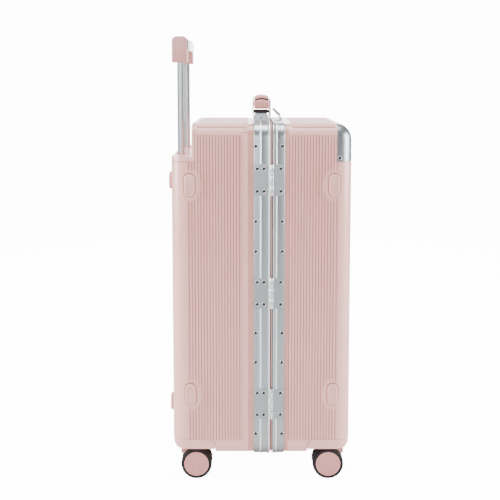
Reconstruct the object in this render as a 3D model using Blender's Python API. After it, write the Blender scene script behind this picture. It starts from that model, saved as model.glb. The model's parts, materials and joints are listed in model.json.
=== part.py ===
"""Deep hard shell trunk on wheels: two ribbed shells, aluminium frames, hinges, trolley, casters."""
import math

import bmesh
import bpy
from mathutils import Matrix, Vector

MM = 0.001

# case body: X runs from the back face to the front face, Y across, Z up from the floor
DEPTH = 337 * MM
WIDTH = 380 * MM
CASE_LOW = 52 * MM
CASE_TOP = 688 * MM
EDGE_R = 28 * MM
WALL = 3 * MM
ROUND_STEPS = 5
GAP = 0.3 * MM

# aluminium frame profiles and seam
REAR_FRAME_BACK = 154.5 * MM
REAR_FRAME_LEN = 30 * MM
SEAM = 6.7 * MM
FRONT_FRAME_LEN = 20.7 * MM
FRAME_PROUD = 1.5 * MM
FRAME_WALL = 2.2 * MM
FRAME_HEEL = 6.2 * MM
LIP_IN = 1.0 * MM

# hinges
HINGE_TALL = 59 * MM
HINGE_PITCH = 215 * MM
LEAF = 1.5 * MM
KNUCKLE_R = 3.6 * MM
PIN_R = 1.5 * MM
HINGE_BORE_CLEAR = 0.35 * MM

# notch for the trolley at the top back corner
NOTCH_DEEP = 43.9 * MM
NOTCH_FLOOR = 619 * MM
BEZEL_WALL = 6.2 * MM
BEZEL_FLOOR = 9 * MM

# wheel wells and housings
WELL_X = 80 * MM
WELL_Y = 80 * MM
WELL_ROOF = 83 * MM
WELL_CUT = 8 * MM
HOUSING_LOW = 64 * MM

# casters
WHEEL_R = 30 * MM
WHEEL_W = 20 * MM
WHEEL_GAP = 8 * MM
AXLE_R = 3 * MM
AXLE_CLEAR = 0.4 * MM
SWIVEL_BACK = 31 * MM
SWIVEL_FRONT = 26.5 * MM
SWIVEL_SIDE = 36 * MM
TRAIL = 12 * MM
STEM_R = 4 * MM
PLATE_R = 15 * MM

# trolley
TUBE_Y = 102 * MM
TUBE_WX = 12.7 * MM
TUBE_WY = 17 * MM
TUBE_WALL = 1.0 * MM
TUBE_CLEAR = 0.3 * MM
TUBE_LEN = 287 * MM
MIDDLE_LEN = 273 * MM
GRIP_LOW = 804 * MM
GRIP_HIGH = 50 * MM
GRIP_BAR = 26 * MM
GRIP_DEEP = 29.6 * MM
GRIP_LEG = 30 * MM
GRIP_SOCKET = 20 * MM
BUTTON_L = 34 * MM
BUTTON_W = 14 * MM

# feet, guards
SIDE_FOOT = (19 * MM, 42 * MM)
SIDE_FOOT_PROUD = 8.5 * MM
BACK_FOOT = (40 * MM, 37 * MM)
BACK_FOOT_PROUD = 7.5 * MM
GUARD_X = 27 * MM
GUARD_Y = 40 * MM
GUARD_Z = 69 * MM

# handles and latches
HANDLE_X = 170 * MM
HANDLE_LEN = 134 * MM
HANDLE_WIDE = 36.5 * MM
HANDLE_RISE = 50 * MM
BRACKET_AT = 50 * MM
BRACKET_LONG = 20 * MM
LATCH_LONG = 40 * MM
LATCH_PIVOT_X = 208.5 * MM
LATCH_PIVOT_H = 4.6 * MM
LATCH_SPREAD = 150 * MM

# derived
TUBE_X = WALL + 0.9 * MM + TUBE_WX / 2 + 2 * (TUBE_WALL + TUBE_CLEAR)
MID_Z = (CASE_LOW + CASE_TOP) / 2
HALF_W = WIDTH / 2
HALF_H = (CASE_TOP - CASE_LOW) / 2
REAR_FRAME_FRONT = REAR_FRAME_BACK + REAR_FRAME_LEN
FRONT_FRAME_BACK = REAR_FRAME_FRONT + SEAM
FRONT_FRAME_FRONT = FRONT_FRAME_BACK + FRONT_FRAME_LEN
PIN_X = REAR_FRAME_FRONT + SEAM / 2
PIN_Y = HALF_W + FRAME_PROUD + 2.0 * MM
CENTRE_X = (DEPTH + FRAME_PROUD - BACK_FOOT_PROUD) / 2
CENTRE_Y = 3.0 * MM

COLOURS = {
    "pink_shell": (0.66, 0.42, 0.40, 0.0, 0.35),
    "pink_plastic": (0.52, 0.30, 0.29, 0.0, 0.45),
    "aluminium": (0.62, 0.65, 0.67, 1.0, 0.32),
    "steel": (0.45, 0.46, 0.47, 1.0, 0.35),
    "seal_rubber": (0.35, 0.20, 0.20, 0.0, 0.7),
    "tyre_black": (0.02, 0.02, 0.022, 0.0, 0.6),
    "lining_grey": (0.32, 0.29, 0.29, 0.0, 0.85),
    "black_plastic": (0.03, 0.03, 0.03, 0.0, 0.5),
}
NAME = "trunk_suitcase"


def clear_scene():
    for obj in list(bpy.data.objects):
        bpy.data.objects.remove(obj, do_unlink=True)


def collection(name, hidden=False):
    col = bpy.data.collections.new(name)
    bpy.context.scene.collection.children.link(col)
    col.hide_render = hidden
    return col


def material(key):
    mat = bpy.data.materials.get(key)
    if mat:
        return mat
    red, green, blue, metal, rough = COLOURS[key]
    mat = bpy.data.materials.new(key)
    mat.use_nodes = True
    node = mat.node_tree.nodes["Principled BSDF"]
    node.inputs["Base Color"].default_value = (red, green, blue, 1.0)
    node.inputs["Metallic"].default_value = metal
    node.inputs["Roughness"].default_value = rough
    return mat


def make(name, bm, key, origin=(0.0, 0.0, 0.0)):
    """Finish a mesh as a named object whose origin is the given case point."""
    at = Vector(origin)
    bmesh.ops.remove_doubles(bm, verts=bm.verts, dist=1e-6)
    bmesh.ops.recalc_face_normals(bm, faces=bm.faces)
    bmesh.ops.translate(bm, verts=bm.verts, vec=-at)
    mesh = bpy.data.meshes.new(name)
    bm.to_mesh(mesh)
    bm.free()
    mesh.materials.append(material(key))
    obj = bpy.data.objects.new(name, mesh)
    obj.location = at - Vector((CENTRE_X, CENTRE_Y, 0.0))
    PART.objects.link(obj)
    return obj


def loft(rings, cap=True):
    """Skin a list of equal rings; cap both ends or close the loop of rings."""
    bm = bmesh.new()
    rows = [[bm.verts.new(p) for p in ring] for ring in rings]
    count = len(rows[0])
    pairs = list(zip(rows, rows[1:]))
    if not cap:
        pairs.append((rows[-1], rows[0]))
    for low, high in pairs:
        for i in range(count):
            j = (i + 1) % count
            bm.faces.new((low[i], low[j], high[j], high[i]))
    if cap:
        bm.faces.new(rows[0])
        bm.faces.new(rows[-1])
    bmesh.ops.recalc_face_normals(bm, faces=bm.faces)
    return bm


def rounded_rect(half_a, half_b, radius, steps=ROUND_STEPS):
    """Points of a rounded rectangle, anticlockwise."""
    radius = max(min(radius, half_a - 1e-5, half_b - 1e-5), 1e-5)
    points = []
    for quarter, (sa, sb) in enumerate(((1, 1), (-1, 1), (-1, -1), (1, -1))):
        for step in range(steps + 1):
            angle = (quarter + step / steps) * math.pi / 2
            a = sa * (half_a - radius) + radius * math.cos(angle)
            b = sb * (half_b - radius) + radius * math.sin(angle)
            points.append((a, b))
    return points


def case_ring(x, inset):
    """One ring of the case outline at x, moved in from the outer surface."""
    points = rounded_rect(HALF_W - inset, HALF_H - inset, EDGE_R - inset)
    return [Vector((x, y, MID_Z + z)) for y, z in points]


def block(skin=0.0, back=True, stop=None):
    """Solid half block: rounded at one end, skin below the outer surface, flat at stop."""
    x_end, sign = (0.0, 1.0) if back else (DEPTH, -1.0)
    rings = []
    radius = EDGE_R - skin
    for step in range(ROUND_STEPS + 1):
        angle = step / ROUND_STEPS * math.pi / 2
        x = x_end + sign * (skin + radius * (1 - math.sin(math.pi / 2 - angle)))
        inset = skin + radius * (1 - math.cos(math.pi / 2 - angle))
        rings.append((x, inset))
    rings.sort(key=lambda r: sign * r[0])
    outline = [case_ring(x, inset) for x, inset in rings]
    outline.append(case_ring(stop, skin))
    return loft(outline)


def box(x0, x1, y0, y1, z0, z1, bevel=0.0, steps=2):
    bm = bmesh.new()
    bmesh.ops.create_cube(bm, size=1.0)
    size = Vector((x1 - x0, y1 - y0, z1 - z0))
    mid = Vector((x1 + x0, y1 + y0, z1 + z0)) / 2
    bmesh.ops.transform(bm, matrix=Matrix.Translation(mid) @ Matrix.Diagonal(size.to_4d()),
                        verts=bm.verts)
    if bevel:
        bmesh.ops.bevel(bm, geom=list(bm.edges), offset=bevel, segments=steps, profile=0.5,
                        affect="EDGES", material=-1)
    return bm


def cylinder(at, axis, radius, length, sides=24):
    """Cylinder centred at a point along an axis letter."""
    bm = bmesh.new()
    bmesh.ops.create_cone(bm, cap_ends=True, cap_tris=False, segments=sides, radius1=radius,
                          radius2=radius, depth=length)
    turn = {"X": Matrix.Rotation(math.pi / 2, 4, "Y"), "Y": Matrix.Rotation(math.pi / 2, 4, "X"),
            "Z": Matrix.Identity(4)}[axis]
    bmesh.ops.transform(bm, matrix=Matrix.Translation(Vector(at)) @ turn, verts=bm.verts)
    return bm


def prism(points, y0, y1):
    """Outline in X and Z drawn out along Y."""
    rings = [[Vector((x, y, z)) for x, z in points] for y in (y0, y1)]
    return loft(rings)


def mirrored(bm, factor=(1.0, -1.0, 1.0)):
    out = bm.copy()
    bmesh.ops.scale(out, vec=Vector(factor), verts=out.verts)
    bmesh.ops.recalc_face_normals(out, faces=out.faces)
    return out


def temp_object(bm, tag):
    mesh = bpy.data.meshes.new(tag)
    bm.to_mesh(mesh)
    bm.free()
    obj = bpy.data.objects.new(tag, mesh)
    CUTTERS.objects.link(obj)
    obj.display_type = "WIRE"
    obj.hide_render = True
    return obj


def combine(base, other, operation="DIFFERENCE"):
    """Exact Boolean of two meshes; both inputs are used up."""
    target = temp_object(base, "tmp_base")
    tool = temp_object(other, "tmp_tool")
    mod = target.modifiers.new("cut", "BOOLEAN")
    mod.operation = operation
    mod.solver = "EXACT"
    mod.object = tool
    graph = bpy.context.evaluated_depsgraph_get()
    mesh = bpy.data.meshes.new_from_object(target.evaluated_get(graph))
    out = bmesh.new()
    out.from_mesh(mesh)
    for obj in (target, tool):
        bpy.data.objects.remove(obj, do_unlink=True)
    bmesh.ops.remove_doubles(out, verts=out.verts, dist=1e-6)
    bmesh.ops.dissolve_degenerate(out, edges=out.edges, dist=1e-6)
    return out


def cut_all(base, tools):
    for tool in tools:
        base = combine(base, tool)
    return base


def union(parts):
    base = parts[0]
    for part in parts[1:]:
        base = combine(base, part, "UNION")
    return base


def well_outline(back, grow=0.0, low=None):
    """Outline in X and Z of the wheel well, grown outwards from the well."""
    floor = CASE_LOW - 20 * MM if low is None else low
    inner = WELL_X + grow
    roof = WELL_ROOF + grow
    cut = WELL_CUT + grow * 0.4
    points = [(-20 * MM, floor), (inner, floor), (inner, roof - cut), (inner - cut, roof),
              (-20 * MM, roof)]
    if back:
        return points
    return [(DEPTH - x, z) for x, z in points]


def well(back, side, grow=0.0, low=None):
    inner = HALF_W - WELL_Y - grow
    outer = HALF_W + 20 * MM
    lo, hi = (inner, outer) if side > 0 else (-outer, -inner)
    return prism(well_outline(back, grow, low), lo, hi)


def notch(grow=0.0):
    top = CASE_TOP + 20 * MM
    wide = HALF_W + 20 * MM
    return box(-20 * MM, NOTCH_DEEP + grow, -wide, wide, NOTCH_FLOOR - grow, top)


def tube_holes(extra, low, high):
    wx = TUBE_WX / 2 + TUBE_WALL + TUBE_CLEAR + extra
    wy = TUBE_WY / 2 + TUBE_WALL + TUBE_CLEAR + extra
    tools = []
    for side in (-1, 1):
        y = side * TUBE_Y
        tools.append(box(TUBE_X - wx, TUBE_X + wx, y - wy, y + wy, low, high))
    return tools


def shell(back):
    """Moulded half: skin of constant wall round wells and notch, lip stepped in for the frame."""
    if back:
        lip_stop, step_x = REAR_FRAME_FRONT - 4.5 * MM, REAR_FRAME_BACK - GAP
    else:
        lip_stop, step_x = FRONT_FRAME_BACK + 4.5 * MM, FRONT_FRAME_FRONT + GAP
    outer = block(0.0, back, step_x)
    inner = block(WALL, back, lip_stop + (20 * MM if back else -20 * MM))
    for side in (-1, 1):
        outer = combine(outer, well(back, side))
        inner = combine(inner, well(back, side, WALL))
    if back:
        outer = combine(outer, notch())
        inner = combine(inner, notch(WALL))
    sunk = 2 * MM
    lip_from = step_x - sunk if back else step_x + sunk
    lip = loft([case_ring(lip_from, LIP_IN), case_ring(lip_stop, LIP_IN)])
    outer = combine(outer, lip, "UNION")
    skin = combine(outer, inner)
    if back:
        skin = cut_all(skin, tube_holes(0.4 * MM, NOTCH_FLOOR - 8 * MM, NOTCH_FLOOR + 8 * MM))
    return skin


def lining(back):
    """Inner tray of the half, standing off the trolley tubes in the rear half."""
    skin = WALL + 0.6 * MM
    thick = 1.8 * MM
    if back:
        floor_x, stop = NOTCH_DEEP + WALL + 1.0 * MM, REAR_FRAME_BACK + 4 * MM
    else:
        floor_x, stop = DEPTH - WALL - 0.6 * MM, FRONT_FRAME_FRONT - 3 * MM
    over = 20 * MM if back else -20 * MM
    outer = block(skin, back, stop)
    inner = block(skin + thick, back, stop + over)
    if back:
        wide, top = HALF_W + 5 * MM, CASE_TOP + 5 * MM
        outer = combine(outer, box(-9 * MM, floor_x, -wide, wide, 0.0, top))
        inner = combine(inner, box(-9 * MM, floor_x + thick, -wide, wide, 0.0, top))
    for side in (-1, 1):
        outer = combine(outer, well(back, side, skin))
        inner = combine(inner, well(back, side, skin + thick))
    return combine(outer, inner)


def frame_profile(back):
    """Section of the channel that takes the shell lip: (x, rise above the shell)."""
    top, under = FRAME_PROUD, FRAME_PROUD - FRAME_WALL
    length = REAR_FRAME_LEN if back else FRONT_FRAME_LEN
    web = 2.5 * MM
    heel = -FRAME_HEEL
    points = [(0.0, top), (length, top), (length, heel), (8 * MM, heel), (8 * MM, heel + 2 * MM),
              (length - web, heel + 2 * MM), (length - web, under), (0.0, under)]
    if back:
        return [(REAR_FRAME_BACK + x, n) for x, n in points]
    return [(FRONT_FRAME_FRONT - x * 1.0, n) for x, n in points]


def sweep(profile):
    """Sweep a section round the case outline."""
    rings = []
    for x, rise in profile:
        rings.append(case_ring(x, -rise))
    return loft(rings, cap=False)


def seal_profile():
    x0, x1 = REAR_FRAME_FRONT + GAP, FRONT_FRAME_BACK - GAP
    mid = (x0 + x1) / 2
    return [(x0, -1.6 * MM), (mid - MM, -1.6 * MM), (mid, -0.9 * MM), (mid + MM, -1.6 * MM),
            (x1, -1.6 * MM), (x1, -6 * MM), (x0, -6 * MM)]


def bezel():
    """L-shaped trim lining the trolley notch, flush with the case outside."""
    stop = NOTCH_DEEP - GAP
    base = block(0.0, True, REAR_FRAME_BACK)
    wide = HALF_W + 5 * MM
    high = CASE_TOP + 5 * MM
    keep = box(-5 * MM, stop, -wide, wide, NOTCH_FLOOR + GAP, high)
    part = combine(base, keep, "INTERSECT")
    floor = NOTCH_FLOOR + BEZEL_FLOOR
    part = combine(part, box(-9 * MM, NOTCH_DEEP - BEZEL_WALL, -wide, wide, floor, high + 9 * MM))
    return cut_all(part, tube_holes(0.4 * MM, NOTCH_FLOOR - 9 * MM, floor + 9 * MM))


def rect_tube(y, half_x, half_y, wall, low, high):
    outer = [Vector((TUBE_X + a, y + b, 0)) for a, b in rounded_rect(half_x, half_y, 3 * MM, 2)]
    inner = [Vector((TUBE_X + a, y + b, 0))
             for a, b in rounded_rect(half_x - wall, half_y - wall, 2 * MM, 2)]
    rings = [[p + Vector((0, 0, low)) for p in outer], [p + Vector((0, 0, high)) for p in outer],
             [p + Vector((0, 0, high)) for p in inner], [p + Vector((0, 0, low)) for p in inner]]
    return loft(rings, cap=False)


def guide():
    step = TUBE_WALL + TUBE_CLEAR
    half_x, half_y = TUBE_WX / 2 + 2 * step, TUBE_WY / 2 + 2 * step
    low = WELL_ROOF + WALL + 2 * MM
    high = NOTCH_FLOOR - WALL - 0.5 * MM
    wide = TUBE_Y + half_y + 1.0 * MM
    parts = [box(TUBE_X - half_x + 0.2 * MM, TUBE_X + half_x - 0.2 * MM, -wide, wide, low,
                 low + 10 * MM)]
    for side in (-1, 1):
        parts.append(rect_tube(side * TUBE_Y, half_x, half_y, TUBE_WALL, low + 5 * MM, high))
    return union(parts)


def housing(back, side):
    """Corner block over the casters, flush with the shell, bored for the stem."""
    outer = block(0.0, back, REAR_FRAME_BACK if back else FRONT_FRAME_FRONT)
    keep = well(back, side, -GAP, HOUSING_LOW)
    part = combine(outer, keep, "INTERSECT")
    x, y = swivel_at(back, side)
    bore = cylinder((x, y, HOUSING_LOW), "Z", STEM_R + AXLE_CLEAR, 26 * MM)
    return combine(part, bore)


def swivel_at(back, side):
    x = SWIVEL_BACK if back else DEPTH - SWIVEL_FRONT
    return x, side * (HALF_W - SWIVEL_SIDE)


def caster_axis(back, side):
    x, y = swivel_at(back, side)
    return x + (TRAIL if back else -TRAIL), y


def fork(back, side):
    """Hood plate, stem, centre leg and axle of one twin-wheel caster."""
    x, y = swivel_at(back, side)
    ax, _ = caster_axis(back, side)
    half = WHEEL_GAP / 2 - 0.8 * MM
    plate_top = HOUSING_LOW - 0.5 * MM
    plate_low = plate_top - 2.6 * MM
    lo, hi = min(x, ax) - 9 * MM, max(x, ax) + 9 * MM
    leg = box(lo, hi, y - half, y + half, WHEEL_R - 7 * MM, plate_low + MM, 0.6 * MM, 1)
    length = WHEEL_GAP + 2 * WHEEL_W - 5 * MM
    parts = [leg, cylinder((x, y, (plate_top + plate_low) / 2), "Z", PLATE_R, plate_top - plate_low),
             cylinder((x, y, plate_top + 5 * MM), "Z", STEM_R, 12 * MM),
             cylinder((ax, y, WHEEL_R), "Y", AXLE_R, length)]
    return union(parts)


def wheel(back, side, which):
    """Wheel turned from one section: crowned tread, dished outer face, bore for the axle."""
    ax, y = caster_axis(back, side)
    near = WHEEL_GAP / 2
    far = near + WHEEL_W
    bore = AXLE_R + AXLE_CLEAR
    section = [(bore, near), (WHEEL_R - 5 * MM, near), (WHEEL_R - 1.5 * MM, near + 2 * MM),
               (WHEEL_R, near + 6 * MM), (WHEEL_R, far - 6 * MM), (WHEEL_R - 2 * MM, far - 1.5 * MM),
               (WHEEL_R - 5 * MM, far), (bore, far)]
    rings = []
    sides = 24
    for k in range(sides):
        turn = 2 * math.pi * k / sides
        ring = []
        for radius, offset in section:
            ring.append(Vector((ax + radius * math.cos(turn), y + which * offset,
                                WHEEL_R + radius * math.sin(turn))))
        rings.append(ring)
    return loft(rings, cap=False), (ax, y + which * (near + far) / 2, WHEEL_R)


def hinge_leaf(z, rear):
    """Leaf lying on the frame with its knuckles; the rear leaf carries the pin."""
    face = HALF_W + FRAME_PROUD + 0.3 * MM
    half = HINGE_TALL / 2
    third = HINGE_TALL / 6
    if rear:
        x0, x1 = PIN_X - KNUCKLE_R - 30 * MM, PIN_X
        spans = ((-half, -third - GAP), (third + GAP, half))
    else:
        x0, x1 = PIN_X, FRONT_FRAME_FRONT - 0.8 * MM
        spans = ((-third, third),)
    plate = box(x0, x1, -face - LEAF, -face, z - half, z + half, 0.4 * MM, 1)
    swap = (-third - GAP, third + GAP) if rear else None
    clear = KNUCKLE_R + 0.4 * MM
    cuts = []
    if rear:
        cuts.append(box(PIN_X - clear, PIN_X + clear, -face - 9 * MM, -face + 9 * MM, z + swap[0],
                        z + swap[1]))
    else:
        for lo, hi in ((-half - MM, -third), (third, half + MM)):
            cuts.append(box(PIN_X - clear, PIN_X + clear, -face - 9 * MM, -face + 9 * MM, z + lo,
                            z + hi))
    part = cut_all(plate, cuts)
    for lo, hi in spans:
        tube = cylinder((PIN_X, -PIN_Y, z + (lo + hi) / 2), "Z", KNUCKLE_R, hi - lo, 20)
        part = combine(part, tube, "UNION")
    if rear:
        pin = cylinder((PIN_X, -PIN_Y, z), "Z", PIN_R, HINGE_TALL - 2 * MM, 16)
        return combine(part, pin, "UNION")
    bore = cylinder((PIN_X, -PIN_Y, z), "Z", PIN_R + HINGE_BORE_CLEAR, HINGE_TALL, 16)
    return combine(part, bore)


def pill(half_a, half_b, height, steps=4):
    """Pill pad on the plane Z = 0 rising to height, softened top."""
    soft = 2.5 * MM
    rings = []
    for inset, rise in ((0.0, 0.0), (0.0, height - soft), (soft * 0.3, height - soft * 0.3),
                        (soft, height)):
        points = rounded_rect(half_a - inset, half_b - inset, half_a - inset, steps)
        rings.append([Vector((a, b, rise)) for a, b in points])
    return loft(rings)


def side_foot(x, z):
    bm = pill(SIDE_FOOT[0] / 2, SIDE_FOOT[1] / 2, SIDE_FOOT_PROUD - GAP)
    turn = Matrix.Rotation(math.pi / 2, 4, "X")
    at = Matrix.Translation(Vector((x, -HALF_W - GAP, z)))
    bmesh.ops.transform(bm, matrix=at @ turn, verts=bm.verts)
    return bm


def back_foot(y, z):
    bm = pill(BACK_FOOT[1] / 2 - 2 * MM, BACK_FOOT[0] / 2, BACK_FOOT_PROUD - GAP)
    turn = Matrix.Rotation(-math.pi / 2, 4, "Y")
    at = Matrix.Translation(Vector((-GAP, y, z)))
    bmesh.ops.transform(bm, matrix=at @ turn, verts=bm.verts)
    return bm


def guard(side):
    """Pressed corner cap on the front top corner."""
    stop = DEPTH - GUARD_X - 12 * MM
    outer = block(-FRAME_PROUD, False, stop)
    inner = block(-GAP, False, stop - 20 * MM)
    y0, y1 = HALF_W - GUARD_Y, HALF_W + 9 * MM
    lo, hi = (y0, y1) if side > 0 else (-y1, -y0)
    keep = box(DEPTH - GUARD_X, DEPTH + 9 * MM, lo, hi, CASE_TOP - GUARD_Z, CASE_TOP + 9 * MM)
    return combine(combine(outer, inner), keep, "INTERSECT")


def bracket(side):
    """Slotted post on the rear frame that lets the handle bar lift."""
    top = CASE_TOP + FRAME_PROUD + GAP
    y = side * BRACKET_AT
    half = BRACKET_LONG / 2
    base = box(HANDLE_X - 14 * MM, HANDLE_X + 14 * MM, y - half, y + half, top, top + 4 * MM,
               MM, 1)
    post = box(HANDLE_X - 9 * MM, HANDLE_X + 9 * MM, y - 6 * MM, y + 6 * MM, top + 2 * MM,
               top + 25 * MM, 1.5 * MM, 2)
    slot = box(HANDLE_X - 15 * MM, HANDLE_X + 15 * MM, y - 2.4 * MM, y + 2.4 * MM, top + 8.4 * MM,
               top + 21.5 * MM)
    return combine(combine(base, post, "UNION"), slot)


def soft_prism(half_x, low, high, radius, y0, y1):
    """Rounded rectangle in X and Z about the handle line, drawn out along Y."""
    mid, half_z = (low + high) / 2, (high - low) / 2
    points = rounded_rect(half_x, half_z, radius, 3)
    return prism([(HANDLE_X + a, mid + b) for a, b in points], y0, y1)


def top_handle():
    """Padded grip carried by two metal loops whose lower bars run in the slotted posts."""
    top = CASE_TOP + FRAME_PROUD
    half = HANDLE_LEN / 2
    pad_low, pad_high = top + 28.5 * MM, top + HANDLE_RISE - 2 * MM
    pad = box(HANDLE_X - HANDLE_WIDE / 2 + 2.5 * MM, HANDLE_X + HANDLE_WIDE / 2 - 2.5 * MM, -half,
              half, pad_low, pad_high, 6 * MM, 3)
    parts = [pad]
    wide = HANDLE_WIDE / 2
    for side in (-1, 1):
        y = side * BRACKET_AT
        loop = soft_prism(wide, top + 6 * MM, top + HANDLE_RISE, 9 * MM, y - 4.5 * MM, y + 4.5 * MM)
        hole = soft_prism(wide - 2.6 * MM, top - 4 * MM, top + HANDLE_RISE - 2.6 * MM, 6.4 * MM,
                          y - 9 * MM, y + 9 * MM)
        bar = cylinder((HANDLE_X, y, top + 11 * MM), "X", 2.0 * MM, HANDLE_WIDE - 3.5 * MM, 12)
        parts.append(combine(combine(loop, hole), bar, "UNION"))
    return union(parts)


def side_handle_base():
    """Plate on the rear frame with two bored ears."""
    face = HALF_W + FRAME_PROUD + GAP
    x = HANDLE_X - 2 * MM
    part = box(x - 9 * MM, x + 9 * MM, face, face + 3 * MM, MID_Z - 70 * MM, MID_Z + 70 * MM, MM, 1)
    for side in (-1, 1):
        z = MID_Z + side * 64 * MM
        ear = box(x - 5 * MM, x + 5 * MM, face + MM, face + 12 * MM, z - 4 * MM, z + 4 * MM,
                  1.5 * MM, 2)
        part = combine(part, ear, "UNION")
    pin = cylinder((x, face + 7.5 * MM, MID_Z), "Z", 2.4 * MM, 160 * MM, 16)
    return combine(part, pin)


def side_handle():
    """Bail grip folding flat over the rear shell about a vertical pin."""
    face = HALF_W + FRAME_PROUD + GAP
    x, y = HANDLE_X - 2 * MM, face + 7.5 * MM
    grip = box(x - 46 * MM, x - 32 * MM, y - 4.5 * MM, y + 4.5 * MM, MID_Z - 58 * MM,
               MID_Z + 58 * MM, 3 * MM, 3)
    parts = [grip]
    for side in (-1, 1):
        z = MID_Z + side * 55 * MM
        arm = box(x - 40 * MM, x + 4 * MM, y - 3.5 * MM, y + 3.5 * MM, z - 3 * MM, z + 3 * MM,
                  1.5 * MM, 1)
        parts.append(arm)
        parts.append(cylinder((x, y, MID_Z + side * 61 * MM), "Z", 2.0 * MM, 14 * MM, 16))
    return union(parts)


def latch_parts(length):
    """Latch body and lever in a local frame: X across the seam, Y along, Z off the frame."""
    half = LATCH_LONG / 2
    low = FRAME_PROUD + GAP
    px, pz = LATCH_PIVOT_X, FRAME_PROUD + LATCH_PIVOT_H
    base = box(FRONT_FRAME_BACK + MM, FRONT_FRAME_FRONT - 0.5 * MM, -half, half, low,
               low + 1.4 * MM, 0.4 * MM, 1)
    for side in (-1, 1):
        lo, hi = sorted((side * half, side * (half - 4 * MM)))
        ear = box(px - 3 * MM, px + 3 * MM, lo, hi, low + 0.6 * MM, pz + 2.6 * MM, 0.6 * MM, 1)
        base = combine(base, ear, "UNION")
    base = combine(base, cylinder((px, 0, pz), "Y", 1.1 * MM, LATCH_LONG - MM, 12), "UNION")
    wide = half - 4.4 * MM
    plate = box(px - length, px, -wide, wide, pz + 0.2 * MM, pz + 2.0 * MM, 0.6 * MM, 1)
    barrel = cylinder((px, 0, pz), "Y", 2.3 * MM, 2 * wide, 16)
    lever = combine(plate, barrel, "UNION")
    lever = combine(lever, cylinder((px, 0, pz), "Y", 1.45 * MM, LATCH_LONG + MM, 12))
    return base, lever


def add_latch(tag, place, length, rest):
    base, lever = latch_parts(length)
    px, pz = LATCH_PIVOT_X, FRAME_PROUD + LATCH_PIVOT_H
    spin = Matrix.Translation(Vector((px, 0, pz))) @ Matrix.Rotation(rest, 4, "Y")
    spin = spin @ Matrix.Translation(Vector((-px, 0, -pz)))
    bmesh.ops.transform(lever, matrix=place @ spin, verts=lever.verts)
    bmesh.ops.transform(base, matrix=place, verts=base.verts)
    at = place @ Vector((px, 0, pz))
    make("latch_body_" + tag, base, "aluminium")
    make("latch_lever_" + tag, lever, "aluminium", at)


def catch(z):
    face = HALF_W + FRAME_PROUD + GAP
    return box(REAR_FRAME_FRONT - 12 * MM, REAR_FRAME_FRONT - MM, face, face + 3.2 * MM,
               z - 12 * MM, z + 12 * MM, 0.8 * MM, 1)


def add_rear():
    make("rear_shell", shell(True), "pink_shell")
    make("rear_frame", sweep(frame_profile(True)), "aluminium")
    make("frame_seal", sweep(seal_profile()), "seal_rubber")
    make("trolley_bezel", bezel(), "pink_plastic")
    make("trolley_guide", guide(), "steel")
    make("rear_lining", lining(True), "lining_grey")
    for side, tag in ((-1, "near"), (1, "far")):
        make("wheel_housing_rear_" + tag, housing(True, side), "pink_plastic")
        make("top_handle_bracket_" + tag, bracket(side), "steel")
        for z, level in ((MID_Z + 210 * MM, "upper"), (MID_Z - 225 * MM, "lower")):
            foot = back_foot(side * (HALF_W - 52 * MM), z)
            make("back_foot_%s_%s" % (level, tag), foot, "pink_plastic")
    for z, level in ((MID_Z + 205 * MM, "upper"), (MID_Z - 197 * MM, "lower")):
        make("side_foot_rear_" + level, side_foot(33.4 * MM, z), "pink_plastic")
        make("side_foot_front_" + level, side_foot(DEPTH - 32.3 * MM, z), "pink_plastic")
    make("side_handle_base", side_handle_base(), "steel")
    for side, level in ((1, "upper"), (-1, "lower")):
        make("latch_catch_" + level, catch(MID_Z + side * LATCH_SPREAD), "aluminium")


def add_front():
    make("front_shell", shell(False), "pink_shell")
    make("front_frame", sweep(frame_profile(False)), "aluminium")
    make("front_lining", lining(False), "lining_grey")
    for side, tag in ((-1, "near"), (1, "far")):
        make("corner_guard_" + tag, guard(side), "aluminium")
        make("wheel_housing_front_" + tag, housing(False, side), "pink_plastic")


def add_hinges():
    for shift, tag in ((HINGE_PITCH, "upper"), (0.0, "middle"), (-HINGE_PITCH, "lower")):
        z = MID_Z + shift
        make("hinge_rear_leaf_" + tag, hinge_leaf(z, True), "steel")
        make("hinge_front_leaf_" + tag, hinge_leaf(z, False), "steel", (PIN_X, -PIN_Y, z))


def add_latches():
    top = Matrix.Translation(Vector((0, 0, CASE_TOP)))
    add_latch("top", top, 24 * MM, math.radians(45))
    for side, tag in ((1, "upper"), (-1, "lower")):
        place = Matrix.Translation(Vector((0, HALF_W, MID_Z + side * LATCH_SPREAD)))
        place = place @ Matrix.Rotation(-math.pi / 2, 4, "X")
        add_latch(tag, place, 31 * MM, 0.0)


def add_handles():
    top = CASE_TOP + FRAME_PROUD
    make("top_handle", top_handle(), "pink_plastic", (HANDLE_X, 0, top + 11 * MM))
    pin = (HANDLE_X - 2 * MM, HALF_W + FRAME_PROUD + GAP + 7.5 * MM, MID_Z)
    make("side_handle", side_handle(), "pink_plastic", pin)


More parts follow.
